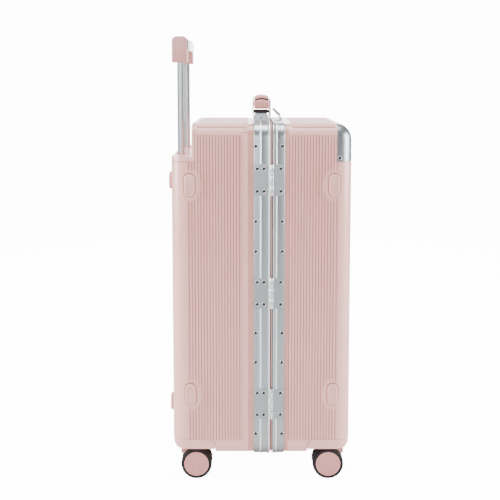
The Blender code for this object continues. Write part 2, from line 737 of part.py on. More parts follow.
def add_trolley():
    step = TUBE_WALL + TUBE_CLEAR
    for side, tag in ((-1, "near"), (1, "far")):
        y = side * TUBE_Y
        top = NOTCH_FLOOR + BEZEL_FLOOR - 0.5 * MM
        tube = rect_tube(y, TUBE_WX / 2 + step, TUBE_WY / 2 + step, TUBE_WALL,
                         top - MIDDLE_LEN, top)
        make("trolley_middle_" + tag, tube, "aluminium", (TUBE_X, y, top))
        high = GRIP_LOW + GRIP_SOCKET - GAP
        tube = rect_tube(y, TUBE_WX / 2, TUBE_WY / 2, 1.2 * MM, high - TUBE_LEN, high)
        make("trolley_upper_" + tag, tube, "aluminium", (TUBE_X, y, GRIP_LOW))
    make("trolley_grip", grip(), "pink_plastic", (TUBE_X, 0, GRIP_LOW))
    high = GRIP_LOW + GRIP_HIGH
    mid = TUBE_X - MM
    button = box(mid - BUTTON_W / 2, mid + BUTTON_W / 2, -BUTTON_L / 2, BUTTON_L / 2,
                 high - 9 * MM, high + 1.5 * MM, 1.0 * MM, 2)
    make("trolley_button", button, "black_plastic", (mid, 0, high - 9 * MM))


def grip():
    """Bar with two legs over the tubes, soft all round, pocket on top for the button."""
    mid = TUBE_X - MM
    x0, x1 = mid - GRIP_DEEP / 2, mid + GRIP_DEEP / 2
    wide = TUBE_Y + GRIP_LEG / 2
    high = GRIP_LOW + GRIP_HIGH
    part = box(x0, x1, -wide, wide, GRIP_LOW, high, 7 * MM, 3)
    inner = TUBE_Y - GRIP_LEG / 2
    part = combine(part, box(x0 - 9 * MM, x1 + 9 * MM, -inner, inner, GRIP_LOW - 9 * MM,
                             high - GRIP_BAR))
    part = combine(part, box(x0 - MM, x1 + MM, -wide - MM, wide + MM, GRIP_LOW - 9 * MM,
                             GRIP_LOW + 3 * MM))
    legs = []
    for side in (-1, 1):
        y = side * TUBE_Y
        half = GRIP_LEG / 2
        foot = rounded_rect(GRIP_DEEP / 2 - 0.5 * MM, half - 0.5 * MM, 6 * MM, 3)
        rings = [[Vector((mid + a, y + b, z)) for a, b in foot]
                 for z in (GRIP_LOW, GRIP_LOW + 12 * MM)]
        part = combine(part, loft(rings), "UNION")
        legs.append(box(TUBE_X - TUBE_WX / 2 - GAP, TUBE_X + TUBE_WX / 2 + GAP,
                        y - TUBE_WY / 2 - GAP, y + TUBE_WY / 2 + GAP, GRIP_LOW - MM,
                        GRIP_LOW + GRIP_SOCKET))
    part = cut_all(part, legs)
    clear = 0.4 * MM
    pocket = box(mid - BUTTON_W / 2 - clear, mid + BUTTON_W / 2 + clear, -BUTTON_L / 2 - clear,
                 BUTTON_L / 2 + clear, high - 13 * MM, high + 5 * MM)
    return combine(part, pocket)


def add_casters():
    for back, end in ((True, "rear"), (False, "front")):
        for side, tag in ((-1, "near"), (1, "far")):
            name = "%s_%s" % (end, tag)
            x, y = swivel_at(back, side)
            make("caster_fork_" + name, fork(back, side), "pink_plastic", (x, y, HOUSING_LOW))
            for which, letter in ((-1, "a"), (1, "b")):
                bm, at = wheel(back, side, which)
                make("wheel_%s_%s" % (name, letter), bm, "tyre_black", at)


def main():
    add_rear()
    add_front()
    add_hinges()
    add_latches()
    add_handles()
    add_trolley()
    add_casters()


clear_scene()
PART = collection(NAME)
CUTTERS = collection("cutters", hidden=True)
main()
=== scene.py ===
"""Looks of a deep hard shell trunk on swivel casters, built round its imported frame."""

from __future__ import annotations

import json
import logging
import math
from dataclasses import dataclass
from enum import Enum
from typing import Callable, Sequence

import bmesh
import bpy
from bmesh.types import BMesh
from mathutils import Matrix, Vector

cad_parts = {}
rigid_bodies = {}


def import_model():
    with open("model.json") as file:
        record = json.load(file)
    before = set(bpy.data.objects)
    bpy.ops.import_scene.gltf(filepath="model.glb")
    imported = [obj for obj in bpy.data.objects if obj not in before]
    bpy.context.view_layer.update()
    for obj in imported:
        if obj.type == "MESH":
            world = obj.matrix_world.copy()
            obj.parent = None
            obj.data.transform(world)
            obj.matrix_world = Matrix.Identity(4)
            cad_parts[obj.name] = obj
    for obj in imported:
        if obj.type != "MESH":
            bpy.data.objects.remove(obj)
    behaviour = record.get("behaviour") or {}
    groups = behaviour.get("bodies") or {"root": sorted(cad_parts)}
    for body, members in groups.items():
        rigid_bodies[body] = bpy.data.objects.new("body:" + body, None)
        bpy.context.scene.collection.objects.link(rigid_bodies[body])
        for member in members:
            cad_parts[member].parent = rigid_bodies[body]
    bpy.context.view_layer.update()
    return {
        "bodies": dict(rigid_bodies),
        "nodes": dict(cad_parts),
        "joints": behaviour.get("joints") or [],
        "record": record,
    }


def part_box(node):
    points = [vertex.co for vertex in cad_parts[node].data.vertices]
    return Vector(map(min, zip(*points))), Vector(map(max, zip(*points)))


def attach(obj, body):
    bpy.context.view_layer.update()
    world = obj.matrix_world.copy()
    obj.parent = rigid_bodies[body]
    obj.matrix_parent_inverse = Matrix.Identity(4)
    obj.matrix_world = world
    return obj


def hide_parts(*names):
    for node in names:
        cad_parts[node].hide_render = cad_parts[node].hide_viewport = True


LOG = logging.getLogger("trunk")
MM = 0.001
BACK_X = -0.1655
MID_Y = -0.003
LOW_Z = 0.052
TOP_Z = 0.688
NOTCH_Z = 0.619
MIDDLE_Z = 0.370
GUARD_X = 0.3095
GUARD_Y = 0.1495
GUARD_Z = 0.6185
DEPTH = 0.337
HALF_W = 0.190
EDGE_R = 0.028
WELL_X = 0.0804
WELL_Y = 0.1096
WELL_Z = 0.0832
NOTCH_X = 0.0444
HINGE_UP = (215, 0, -215)
FOOT_X = {"rear": 0.0334, "front": DEPTH - 0.0323}
FOOT_Z = {"upper": MIDDLE_Z + 0.205, "lower": MIDDLE_Z - 0.197}
PILL_SHARE = 0.965


class Side(Enum):
    """Side of the case: the hinge side or the latch side."""

    NEAR = -1
    FAR = 1


class Half(Enum):
    """Rear half with the trolley, or front half, the lid."""

    REAR = "rear"
    FRONT = "front"


def linear(code: str) -> tuple[float, float, float, float]:
    """Turn an sRGB hex colour to linear values.

    Args:
        code: Colour as six hex digits.

    Returns:
        Red, green, blue and an alpha of one.
    """
    values = [int(code[i:i + 2], 16) / 255 for i in (0, 2, 4)]
    turned = [v / 12.92 if v <= 0.04045 else ((v + 0.055) / 1.055) ** 2.4 for v in values]
    return turned[0], turned[1], turned[2], 1.0


def add_node(tree: bpy.types.NodeTree, kind: str, settings: dict | None = None,
             inputs: dict | None = None) -> bpy.types.Node:
    """Add one node with its settings, values and links.

    Args:
        tree: Node tree that the node joins.
        kind: Blender's name of the node type.
        settings: Attributes set on the node.
        inputs: Values or output sockets for its inputs.

    Returns:
        The new node.
    """
    node = tree.nodes.new(kind)
    for key, value in (settings or {}).items():
        setattr(node, key, value)
    for key, value in (inputs or {}).items():
        if isinstance(value, bpy.types.NodeSocket):
            tree.links.new(value, node.inputs[key])
        else:
            node.inputs[key].default_value = value
    return node


@dataclass(frozen=True)
class Finish:
    """One procedural finish: a base colour mottled and roughened at real sizes, with painted shade
    mixed into rib grooves where a shade colour is given.
    """

    name: str
    colour: str
    second: str
    metallic: float = 0.0
    roughness: float = 0.4
    rough_spread: float = 0.08
    ior: float | None = 1.49
    coat: float = 0.0
    mottle_mm: float = 60.0
    grain_mm: float = 1.2
    grain_depth_mm: float = 0.03
    stretch: tuple[float, float, float] = (1.0, 1.0, 1.0)
    weave_mm: float = 0.0
    # Colour of painted shade, mixed in by the skin's groove attribute; empty for none.
    painted_shade: str = ""

    def build(self) -> bpy.types.Material:
        """Make the material once and return it.

        Returns:
            The material.
        """
        found = bpy.data.materials.get(self.name)
        if found:
            return found
        mat = bpy.data.materials.new(self.name)
        mat.use_nodes = True
        tree = mat.node_tree
        shader = tree.nodes["Principled BSDF"]
        place = add_node(tree, "ShaderNodeTexCoord").outputs["Object"]
        pulled = add_node(tree, "ShaderNodeMapping",
                          inputs={"Vector": place, "Scale": self.stretch})
        cloud = add_node(tree, "ShaderNodeTexNoise",
                         inputs={"Vector": place, "Scale": 1000 / self.mottle_mm, "Detail": 3.0})
        grain = add_node(tree, "ShaderNodeTexNoise",
                         inputs={"Vector": pulled.outputs[0], "Scale": 1000 / self.grain_mm,
                                 "Detail": 2.0})
        blend = add_node(tree, "ShaderNodeMix", {"data_type": "RGBA"}, {
            "Factor": cloud.outputs["Fac"], "A": linear(self.colour), "B": linear(self.second)})
        colour = blend.outputs["Result"]
        # Painted shade: the shade colour is mixed in as far as the groove attribute says, darkening
        # groove bottoms and the sunk flange.
        if self.painted_shade:
            depth = add_node(tree, "ShaderNodeAttribute", {"attribute_name": "rib_valley"})
            colour = add_node(tree, "ShaderNodeMix", {"data_type": "RGBA"}, {
                "Factor": depth.outputs["Fac"], "A": colour,
                "B": linear(self.painted_shade)}).outputs["Result"]
        tree.links.new(colour, shader.inputs["Base Color"])
        spread = add_node(tree, "ShaderNodeMapRange", inputs={
            "Value": grain.outputs["Fac"], "From Min": 0.3, "From Max": 0.7,
            "To Min": self.roughness - self.rough_spread,
            "To Max": self.roughness + self.rough_spread})
        tree.links.new(spread.outputs[0], shader.inputs["Roughness"])
        height = self.height(tree, place, grain)
        bump = add_node(tree, "ShaderNodeBump", inputs={
            "Height": height, "Strength": 0.5, "Distance": self.grain_depth_mm * MM})
        tree.links.new(bump.outputs[0], shader.inputs["Normal"])
        shader.inputs["Metallic"].default_value = self.metallic
        if self.ior is not None:
            shader.inputs["IOR"].default_value = self.ior
        if self.coat:
            shader.inputs["Coat Weight"].default_value = self.coat
            shader.inputs["Coat Roughness"].default_value = 0.12
        return mat

    def height(self, tree: bpy.types.NodeTree, place: bpy.types.NodeSocket,
               grain: bpy.types.Node) -> bpy.types.NodeSocket:
        """Pick the height that the bump reads: grain alone, or crossed threads.

        Args:
            tree: Node tree of the material.
            place: Object coordinates.
            grain: Noise node of the finish.

        Returns:
            The socket with the height.
        """
        if not self.weave_mm:
            return grain.outputs["Fac"]
        waves = []
        for axis in ("X", "Z"):
            wave = add_node(tree, "ShaderNodeTexWave", {"bands_direction": axis}, {
                "Vector": place, "Scale": 1000 / self.weave_mm / 6.283, "Distortion": 0.4})
            waves.append(wave.outputs["Fac"])
        both = add_node(tree, "ShaderNodeMath", {"operation": "MAXIMUM"})
        tree.links.new(waves[0], both.inputs[0])
        tree.links.new(waves[1], both.inputs[1])
        return both.outputs[0]


# Polycarbonate shell, vacuum formed over a ribbed tool: satin with a soft clear sheen. Its B76960
# tint is painted shade, mixed into the rib grooves and the sunk flange.
SHELL = Finish("polycarbonate_satin_pink", "F4B7AE", "F0B0A6", roughness=0.3, rough_spread=0.04,
               ior=1.58, coat=0.35, grain_mm=0.9, grain_depth_mm=0.012, painted_shade="B76960")
# ABS trim, injection moulded with a fine spark texture: a little darker and flatter.
TRIM = Finish("abs_moulded_pink", "DC9B95", "D6938D", roughness=0.38, ior=1.53, grain_mm=0.7,
              grain_depth_mm=0.02)
# Darker copy of the same ABS for the ring round each side foot: painted shade standing in for the
# shadow round the raised foot.
FOOT_SHADE_RING = Finish("abs_moulded_recess", "A2645D", "9B5E58", roughness=0.6, ior=1.53, grain_mm=0.7)
# Deeper pink of the same ABS on the grips, where hands keep it a little polished.
GRIP = Finish("abs_moulded_rose", "D39690", "CD8E89", roughness=0.34, ior=1.53, grain_mm=0.7,
              grain_depth_mm=0.02, coat=0.15)
# Extruded aluminium, satin anodised: long faint draw lines along the extrusion.
ALU = Finish("anodised_aluminium_satin", "A3A9AD", "999FA3", metallic=1.0, roughness=0.34,
             rough_spread=0.07, ior=None, grain_mm=1.0, grain_depth_mm=0.01,
             stretch=(1.0, 1.0, 0.02))
# Drawn aluminium tube: drawn lengthwise.
TUBE = Finish("drawn_aluminium_tube", "B2B7BA", "A6ACAF", metallic=1.0, roughness=0.3,
              rough_spread=0.06, ior=None, grain_mm=0.6, grain_depth_mm=0.008,
              stretch=(1.0, 1.0, 0.01))
# Pressed steel plate, nickel plated and brushed across.
PLATE = Finish("nickel_plated_steel", "9EA3A5", "92979A", metallic=1.0, roughness=0.36,
               rough_spread=0.08, ior=None, grain_mm=0.5, grain_depth_mm=0.01,
               stretch=(0.05, 1.0, 1.0))
# Blackened steel rivets: dark, half gloss.
RIVET = Finish("blackened_steel_rivet", "161517", "1F1E20", roughness=0.6, ior=1.45,
               grain_mm=0.5)
# Polished steel of rivet collars and wire loops, which catches the light.
COLLAR = Finish("polished_steel", "D6DADC", "C9CED1", metallic=1.0, roughness=0.2,
                ior=None, grain_mm=0.5)
# Aluminium bead cut bright with a diamond tool after anodising, left a little frosted.
BEAD = Finish("diamond_cut_aluminium", "F6F8F9", "EDF0F2", metallic=1.0, roughness=0.42,
              rough_spread=0.05, ior=None, grain_mm=0.8, grain_depth_mm=0.006)
# Thermoplastic polyurethane tyre: near black, matte with fine scuffs.
TYRE = Finish("polyurethane_tyre_black", "151214", "1C191B", roughness=0.75, ior=1.4,
              grain_mm=1.5, grain_depth_mm=0.04)
# Rubber seam gasket: soft matte rose bead on a near-black foot whose dark is painted shade.
GASKET = Finish("rubber_gasket_rose", "DDA7A1", "D59E98", roughness=0.6, ior=1.52, grain_mm=1.0)
# Near black painted shade: the seal in the gap between the frames, the shadow line under the handle
# cap and the handle's cross bars.
PAINTED_SHADE_DARK = Finish("rubber_gasket_dark", "352E2E", "2C2627", roughness=0.8, ior=1.52,
                       grain_mm=1.0)
# Woven polyester lining glued to a felt backing: threads 1.1 mm apart so that they show.
LINING = Finish("woven_polyester_lining", "8C8180", "7F7574", roughness=0.85, ior=1.45,
                grain_mm=0.8, grain_depth_mm=0.25, weave_mm=1.1)
# Nylon webbing of the packing straps.
WEBBING = Finish("nylon_webbing_rose", "C79C98", "BB8F8B", roughness=0.8, ior=1.53,
                 grain_mm=0.8, grain_depth_mm=0.2, weave_mm=1.6)
# Black acetal of buckles and the trolley button.
ACETAL = Finish("acetal_black", "1A1A1C", "232325", roughness=0.4, ior=1.48, grain_mm=0.6)


def case_point(x: float, y: float, z: float) -> Vector:
    """Turn a place measured from the back face, mid width and floor to a frame place."""
    return Vector((x + BACK_X, y + MID_Y, z))


def smooth_by_angle(bm: BMesh, degrees: float = 32.0) -> None:
    """Shade a mesh smooth but keep edges sharper than the angle crisp.

    Args:
        bm: Mesh to mark.
        degrees: Angle past which an edge stays sharp.
    """
    limit = math.radians(degrees)
    for face in bm.faces:
        face.smooth = True
    for edge in bm.edges:
        if len(edge.link_faces) == 2:
            edge.smooth = edge.calc_face_angle(0.0) < limit


def finish_piece(name: str, bm: BMesh, finish: Finish, body: str,
                 angle: float = 32.0) -> bpy.types.Object:
    """Turn a mesh into a named piece that rides on a body.

    Args:
        name: Name of the piece.
        bm: Mesh in frame coordinates; it is used up.
        finish: Finish that it wears.
        body: Body it rides on.
        angle: Angle past which edges stay crisp.

    Returns:
        The new object.
    """
    bmesh.ops.remove_doubles(bm, verts=bm.verts, dist=1e-6)
    bmesh.ops.recalc_face_normals(bm, faces=bm.faces)
    smooth_by_angle(bm, angle)
    mesh = bpy.data.meshes.new(name)
    bm.to_mesh(mesh)
    bm.free()
    mesh.materials.append(finish.build())
    piece = bpy.data.objects.new(name, mesh)
    bpy.context.scene.collection.objects.link(piece)
    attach(piece, body)
    return piece


def mm(x: float, y: float, z: float) -> Vector:
    """Vector given in millimetres."""
    return Vector((x * MM, y * MM, z * MM))


def posed(place: Vector, axis: str, sign: int = 1) -> Matrix:
    """Matrix that makes a quarter turn about an axis and then moves to a place."""
    return Matrix.Translation(place) @ Matrix.Rotation(sign * math.pi / 2, 4, axis)


def round_edges(bm: BMesh, edges: Sequence[bmesh.types.BMEdge], radius: float,
                steps: int) -> None:
    """Round edges of a mesh.

    Args:
        bm: The mesh.
        edges: Edges to round.
        radius: Rounding in millimetres.
        steps: Segments of the rounding.
    """
    bmesh.ops.bevel(bm, geom=edges, offset=radius * MM, segments=steps, profile=0.5,
                    affect="EDGES", material=-1)


def soft_box(low: Vector, high: Vector, radius: float = 0.0, steps: int = 3) -> BMesh:
    """Box between two corners with rounded edges.

    Args:
        low: Lowest corner.
        high: Highest corner.
        radius: Edge rounding in millimetres.
        steps: Segments of the rounding.

    Returns:
        The mesh.
    """
    bm = bmesh.new()
    bmesh.ops.create_cube(bm, size=1.0)
    place = Matrix.Translation((low + high) / 2) @ Matrix.Diagonal((high - low).to_4d())
    bmesh.ops.transform(bm, matrix=place, verts=bm.verts)
    if radius:
        round_edges(bm, list(bm.edges), radius, steps)
    return bm


def turned(profile: Sequence[tuple[float, float]], steps: int, place: Matrix) -> BMesh:
    """Turn a closed section (radius, height) about Z with a full spin, then place it.

    Args:
        profile: Points of the section in order, in millimetres.
        steps: Segments of the turn.
        place: Matrix that carries it to its place.

    Returns:
        The mesh.
    """
    bm = bmesh.new()
    verts = [bm.verts.new((r * MM, 0.0, h * MM)) for r, h in profile]
    edges = [bm.edges.new(pair) for pair in zip(verts, verts[1:])]
    if profile[0][0] > 1e-6:
        edges.append(bm.edges.new((verts[-1], verts[0])))
    bmesh.ops.spin(bm, geom=verts + edges, cent=(0, 0, 0), axis=(0, 0, 1), angle=math.tau,
                   steps=steps, use_merge=True)
    bmesh.ops.remove_doubles(bm, verts=bm.verts, dist=1e-6)
    bmesh.ops.transform(bm, matrix=place, verts=bm.verts)
    return bm


def rod(radius: float, half: float, steps: int, place: Matrix) -> BMesh:
    """Round rod about Z of a radius and half length in millimetres."""
    return turned(((0, -half), (radius, -half), (radius, half), (0, half)), steps, place)


def plate(half_a: float, half_b: float, radius: float, thick: float, place: Matrix,
          wall: float = 0.0, soft: float = 0.0, steps: int = 5) -> BMesh:
    """Rounded plate, or a ring if a wall is given, raised from its own XY plane; all in mm.

    Args:
        half_a: Half size along its X.
        half_b: Half size along its Y.
        radius: Corner rounding.
        thick: Height it is raised to.
        place: Matrix that carries it to its place.
        wall: Width of the ring; zero gives a full plate.
        soft: Rounding of the long edges.
        steps: Segments of a corner.

    Returns:
        The mesh.
    """
    bm = bmesh.new()
    bmesh.ops.create_grid(bm, x_segments=1, y_segments=1, size=1.0)
    bmesh.ops.scale(bm, vec=(half_a * MM, half_b * MM, 1.0), verts=bm.verts)
    corner = min(radius, PILL_SHARE * half_a, PILL_SHARE * half_b)
    bmesh.ops.bevel(bm, geom=list(bm.verts), offset=corner * MM, segments=steps, profile=0.5,
                    affect="VERTICES", material=-1)
    if wall:
        bmesh.ops.inset_region(bm, faces=list(bm.faces), thickness=wall * MM,
                                use_even_offset=True, use_boundary=True)
        inner = max(bm.faces, key=lambda f: len(f.verts))
        bmesh.ops.delete(bm, geom=[inner], context="FACES_ONLY")
    raised = bmesh.ops.extrude_face_region(bm, geom=list(bm.faces), use_keep_orig=True)
    moved = [g for g in raised["geom"] if isinstance(g, bmesh.types.BMVert)]
    bmesh.ops.translate(bm, vec=mm(0, 0, thick), verts=moved)
    bmesh.ops.recalc_face_normals(bm, faces=bm.faces)
    if soft:
        rim = [e for e in bm.edges if e.calc_face_angle(0.0) > 1.2
               and min(v.co.z for v in e.verts) > thick * MM / 2]
        round_edges(bm, rim, soft, 3)
    bmesh.ops.transform(bm, matrix=place, verts=bm.verts)
    return bm


def merged(parts: Sequence[BMesh]) -> BMesh:
    """Join several closed meshes into one mesh.

    Args:
        parts: Meshes; they are used up.

    Returns:
        The joined mesh.
    """
    whole = bmesh.new()
    scratch = bpy.data.meshes.new("scratch")
    for part in parts:
        part.to_mesh(scratch)
        whole.from_mesh(scratch)
        part.free()
    bpy.data.meshes.remove(scratch)
    return whole


def raise_flush(bm: BMesh, rise: float) -> None:
    """Lift every vertex that lies on the case surface outwards.

    Args:
        bm: Mesh in frame coordinates.
        rise: How far the surface is lifted.
    """
    shift = case_point(0, 0, 0)
    for vert in bm.verts:
        p = vert.co - shift
        core = Vector((max(EDGE_R, min(DEPTH - EDGE_R, p.x)),
                       max(EDGE_R - HALF_W, min(HALF_W - EDGE_R, p.y)),
                       max(LOW_Z + EDGE_R, min(TOP_Z - EDGE_R, p.z))))
        out = p - core
        if abs(out.length - EDGE_R) < 0.7 * MM:
            vert.co += out.normalized() * rise


def softened_copy(node: str, finish: Finish, body: str, bevel_mm: float = 0.5,
                  angle: float = 32.0, rise: float = 0.0) -> bpy.types.Object:
    """Stand a merged, edge-softened and smooth-shaded copy in for a CAD node.

    Args:
        node: Name of the CAD node.
        finish: Finish that it wears.
        body: Body it rides on.
        bevel_mm: Rounding of its sharp edges.
        angle: Angle past which an edge is rounded.
        rise: How far its face on the case surface is lifted.

    Returns:
        The new piece.
    """
    bm = bmesh.new()
    bm.from_mesh(FRAME["nodes"][node].data)
    bmesh.ops.remove_doubles(bm, verts=bm.verts, dist=2e-6)
    bmesh.ops.dissolve_limit(bm, angle_limit=math.radians(1.0), verts=bm.verts, edges=bm.edges)
    if rise:
        raise_flush(bm, rise)
    piece = finish_piece(node + "_finished", bm, finish, body, angle)
    if bevel_mm:
        soft = piece.modifiers.new("soft_edges", "BEVEL")
        soft.width = bevel_mm * MM
        soft.segments = 2
        soft.limit_method = "ANGLE"
        soft.angle_limit = math.radians(angle + 6)
        soft.use_clamp_overlap = True
        soft.harden_normals = True
    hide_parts(node)
    return piece


FRAME: dict = {}


@dataclass
class RibbedSkin:
    """Moulded outer skin of one half: a rounded block in a grid with ribs pressed into it."""

    half: Half
    pitch: float = 5.57 * MM
    rib_depth: float = 1.4 * MM
    base: float = 0.12 * MM
    arc_steps: int = 12
    end_steps: int = 5
    fade: float = 3.0 * MM

    def __post_init__(self) -> None:
        """Set where the ribs run on this half."""
        self.foot_x = FOOT_X[self.half.value]
        if self.half is Half.REAR:
            self.rib_x = (32.5 * MM, 32.5 * MM + 17 * self.pitch)
            self.top_x = (48 * MM, 141 * MM)
            self.stop_x = 154.3 * MM
        else:
            self.rib_x = (309.7 * MM - 16 * self.pitch, 309.7 * MM)
            self.top_x = (226 * MM, 306 * MM)
            self.stop_x = 212.1 * MM

    def arc(self, steps: int) -> list[float]:
        """Places from the tangent line to the corner of a rounding, for equal angles."""
        return [EDGE_R * math.tan(math.pi / 4 * k / steps) for k in range(1, steps + 1)]

    def groove_lines(self, low: float, high: float) -> list[float]:
        """Lines at each groove bottom and at the shoulders between them.

        Args:
            low: First groove.
            high: Last groove.

        Returns:
            Places in rising order.
        """
        count = round((high - low) / self.pitch)
        lines = []
        for k in range(count + 1):
            at = low + k * self.pitch
            lines += [at - 0.16 * self.pitch, at, at + 0.16 * self.pitch, at + 0.5 * self.pitch]
        return lines[:-1]

    def lay_x(self) -> list[float]:
        """Grid lines from back to front.

        Returns:
            Places in rising order.
        """
        low, high = self.rib_x
        lines = self.groove_lines(low, high)
        lines += [self.top_x[0] - self.fade, self.top_x[0], self.top_x[1],
                  self.top_x[1] + self.fade, self.stop_x]
        if self.half is Half.REAR:
            lines += [0.0, 44.5 * MM] + [EDGE_R - d for d in self.arc(self.end_steps)] + [EDGE_R]
            lines += [80.5 * MM, 142.2 * MM, 143.6 * MM, 145 * MM]
        else:
            inner = DEPTH - EDGE_R
            lines += [DEPTH, inner] + [inner + d for d in self.arc(self.end_steps)]
            lines += [DEPTH - 80.5 * MM, 217 * MM, 218.4 * MM, 219.6 * MM]
            lines += [GUARD_X, GUARD_X + 0.8 * MM]
        return self.tidy(lines)

    def lay_y(self) -> list[float]:
        """Grid lines across the case.

        Returns:
            Places in rising order.
        """
        flat = HALF_W - EDGE_R
        count = int(flat / self.pitch)
        lines = self.groove_lines(-count * self.pitch, count * self.pitch)
        for sign in (-1, 1):
            lines += [sign * at for at in (flat, 109.5 * MM, GUARD_Y, GUARD_Y + 0.8 * MM)]
            lines += [sign * (flat + d) for d in self.arc(self.arc_steps)]
        return self.tidy(lines)

    def lay_z(self) -> list[float]:
        """Grid lines from the floor up, close together round the side feet.

        Returns:
            Places in rising order.
        """
        top, low = TOP_Z - EDGE_R, LOW_Z + EDGE_R
        lines = [top, low] + [top + d for d in self.arc(self.arc_steps)]
        lines += [low - d for d in self.arc(self.end_steps)]
        lines += [83.3 * MM, 86 * MM, 89 * MM, NOTCH_Z - 0.3 * MM, top - 2 * MM, top - 5 * MM]
        lines += [GUARD_Z, GUARD_Z + 0.8 * MM]
        lines += [300 * MM, 400 * MM, 250 * MM, 350 * MM, 450 * MM, 500 * MM]
        for at in FOOT_Z.values():
            lines += [at + d * MM for d in range(-36, 37, 4)]
        return self.tidy(lines)

    def tidy(self, lines: list[float]) -> list[float]:
        """Sort lines and drop those closer than a fifth of a millimetre.

        Args:
            lines: Places in any order.

        Returns:
            Places in rising order.
        """
        kept: list[float] = []
        for at in sorted(lines):
            if not kept or at - kept[-1] > 0.2 * MM:
                kept.append(at)
        return kept

    def grid(self) -> BMesh:
        """Cube cut into the grid, its vertices set on the grid lines.

        Returns:
            The mesh.
        """
        bm = bmesh.new()
        bmesh.ops.create_cube(bm, size=1.0)
        tables = (self.lay_x(), self.lay_y(), self.lay_z())
        for axis, table in enumerate(tables):
            along = [e for e in bm.edges
                     if abs(abs((e.verts[0].co - e.verts[1].co)[axis]) - 1.0) < 1e-4]
            bmesh.ops.subdivide_edges(bm, edges=along, cuts=len(table) - 2, use_grid_fill=True)
        for vert in bm.verts:
            place = [table[round((vert.co[axis] + 0.5) * (len(table) - 1))]
                     for axis, table in enumerate(tables)]
            vert.co = Vector(place)
        return bm

    def wanted(self, centre: Vector) -> bool:
        """Whether a face of the grid belongs to the skin.

        Args:
            centre: Middle of the face.

        Returns:
            True if the face stays.
        """
        open_end = abs(centre.x - self.stop_x) < 1e-5
        floor = centre.z < LOW_Z + 1e-5
        depth = centre.x if self.half is Half.REAR else DEPTH - centre.x
        in_well = centre.z < WELL_Z and abs(centre.y) > WELL_Y and depth < WELL_X
        notch = self.half is Half.REAR and centre.x < NOTCH_X and centre.z > NOTCH_Z - 0.2 * MM
        return not (open_end or floor or in_well or notch)

    def rounded(self, p: Vector) -> tuple[Vector, Vector]:
        """Round the block's edges.

        Args:
            p: Point on the square block.

        Returns:
            The point on the rounded block and the outward direction there.
        """
        rear = self.half is Half.REAR
        core_x = max(p.x, EDGE_R) if rear else min(p.x, DEPTH - EDGE_R)
        flat = HALF_W - EDGE_R
        core = Vector((core_x, max(-flat, min(flat, p.y)),
                       max(LOW_Z + EDGE_R, min(TOP_Z - EDGE_R, p.z))))
        out = p - core
        if out.length < 1e-9:
            return p.copy(), Vector((0, 0, 0))
        out.normalize()
        return core + out * EDGE_R, out

    def ramp(self, value: float, low: float, high: float) -> float:
        """Smooth rise from zero at low to one at high."""
        t = max(0.0, min(1.0, (value - low) / (high - low)))
        return t * t * (3 - 2 * t)

    def window(self, value: float, low: float, high: float) -> float:
        """One inside a span, fading to zero just outside it."""
        rise = self.ramp(value, low - self.fade, low)
        return rise * (1 - self.ramp(value, high, high + self.fade))

    def groove(self, distance: float, period: float) -> float:
        """Depth share of the groove pattern at a distance from a groove bottom."""
        phase = abs((distance / period + 0.5) % 1.0 - 0.5)
        return max(0.0, 1.0 - phase / 0.24) ** 0.7

    def rib_share(self, p: Vector, out: Vector) -> float:
        """How deep the grooves are at a point of the square block.

        Args:
            p: Point on the square block, before rounding.
            out: Outward direction after rounding.

        Returns:
            Zero on a crest, one at a groove bottom.
        """
        share = 0.0
        low, high = self.rib_x
        if abs(p.y) > HALF_W - 1e-5 and low - self.pitch < p.x < high + self.pitch:
            fade = self.window(p.z, 84 * MM, TOP_Z - EDGE_R + 8 * MM)
            span = self.ramp(p.x, low - 2 * MM, low - MM)
            span *= 1 - self.ramp(p.x, high + MM, high + 2 * MM)
            share = self.groove(p.x - low, self.pitch) * fade * span * self.foot_mask(p)
        elif out.z > 0.02 and abs(out.x) < 0.2:
            angle = math.degrees(math.acos(max(-1.0, min(1.0, out.z))))
            lift = 1 - self.ramp(angle, 66, 72)
            run = self.window(p.x, *self.top_x)
            if angle < 0.5:
                share = self.groove(p.y, self.pitch) * run
            else:
                arc_pitch = EDGE_R * math.pi / 2 / 8
                share = self.groove(EDGE_R * math.radians(angle) - arc_pitch * 2 / 3, arc_pitch)
                share *= run * lift
        elif abs(out.x) > 0.98 and abs(p.y) < HALF_W - EDGE_R - 2 * MM:
            share = self.groove(p.y, self.pitch)
            share *= self.window(p.z, 92 * MM, TOP_Z - EDGE_R - 14 * MM)
        return share

    def foot_mask(self, p: Vector) -> float:
        """Zero close to a side foot, one away from it, so that the ribs die out there.

        Args:
            p: Point on the square block.

        Returns:
            Share of the rib depth that is left.
        """
        if p.y > 0:
            return 1.0
        mask = 1.0
        inward = 1.0 if self.half is Half.REAR else -1.0
        for at in FOOT_Z.values():
            dx = (p.x - self.foot_x) * inward
            reach = 20 * MM if dx > 0 else 12 * MM
            far = math.hypot(dx / reach, (p.z - at) / (27 * MM))
            mask *= self.ramp(far, 0.85, 1.25)
        return mask

    def flange_drop(self, p: Vector) -> float:
        """How far the flange beside the frame lies below the crests.

        Args:
            p: Point on the square block.

        Returns:
            Depth in metres.
        """
        if self.half is Half.REAR:
            return self.ramp(p.x, 142.4 * MM, 143.8 * MM) * 0.9 * MM
        return (1 - self.ramp(p.x, 218.2 * MM, 219.6 * MM)) * 0.9 * MM

    def under_guard(self, p: Vector) -> bool:
        """Whether a point lies below a corner guard."""
        return self.half is Half.FRONT and p.x > GUARD_X + 0.4 * MM and (
            abs(p.y) > GUARD_Y + 0.4 * MM and p.z > GUARD_Z + 0.4 * MM)

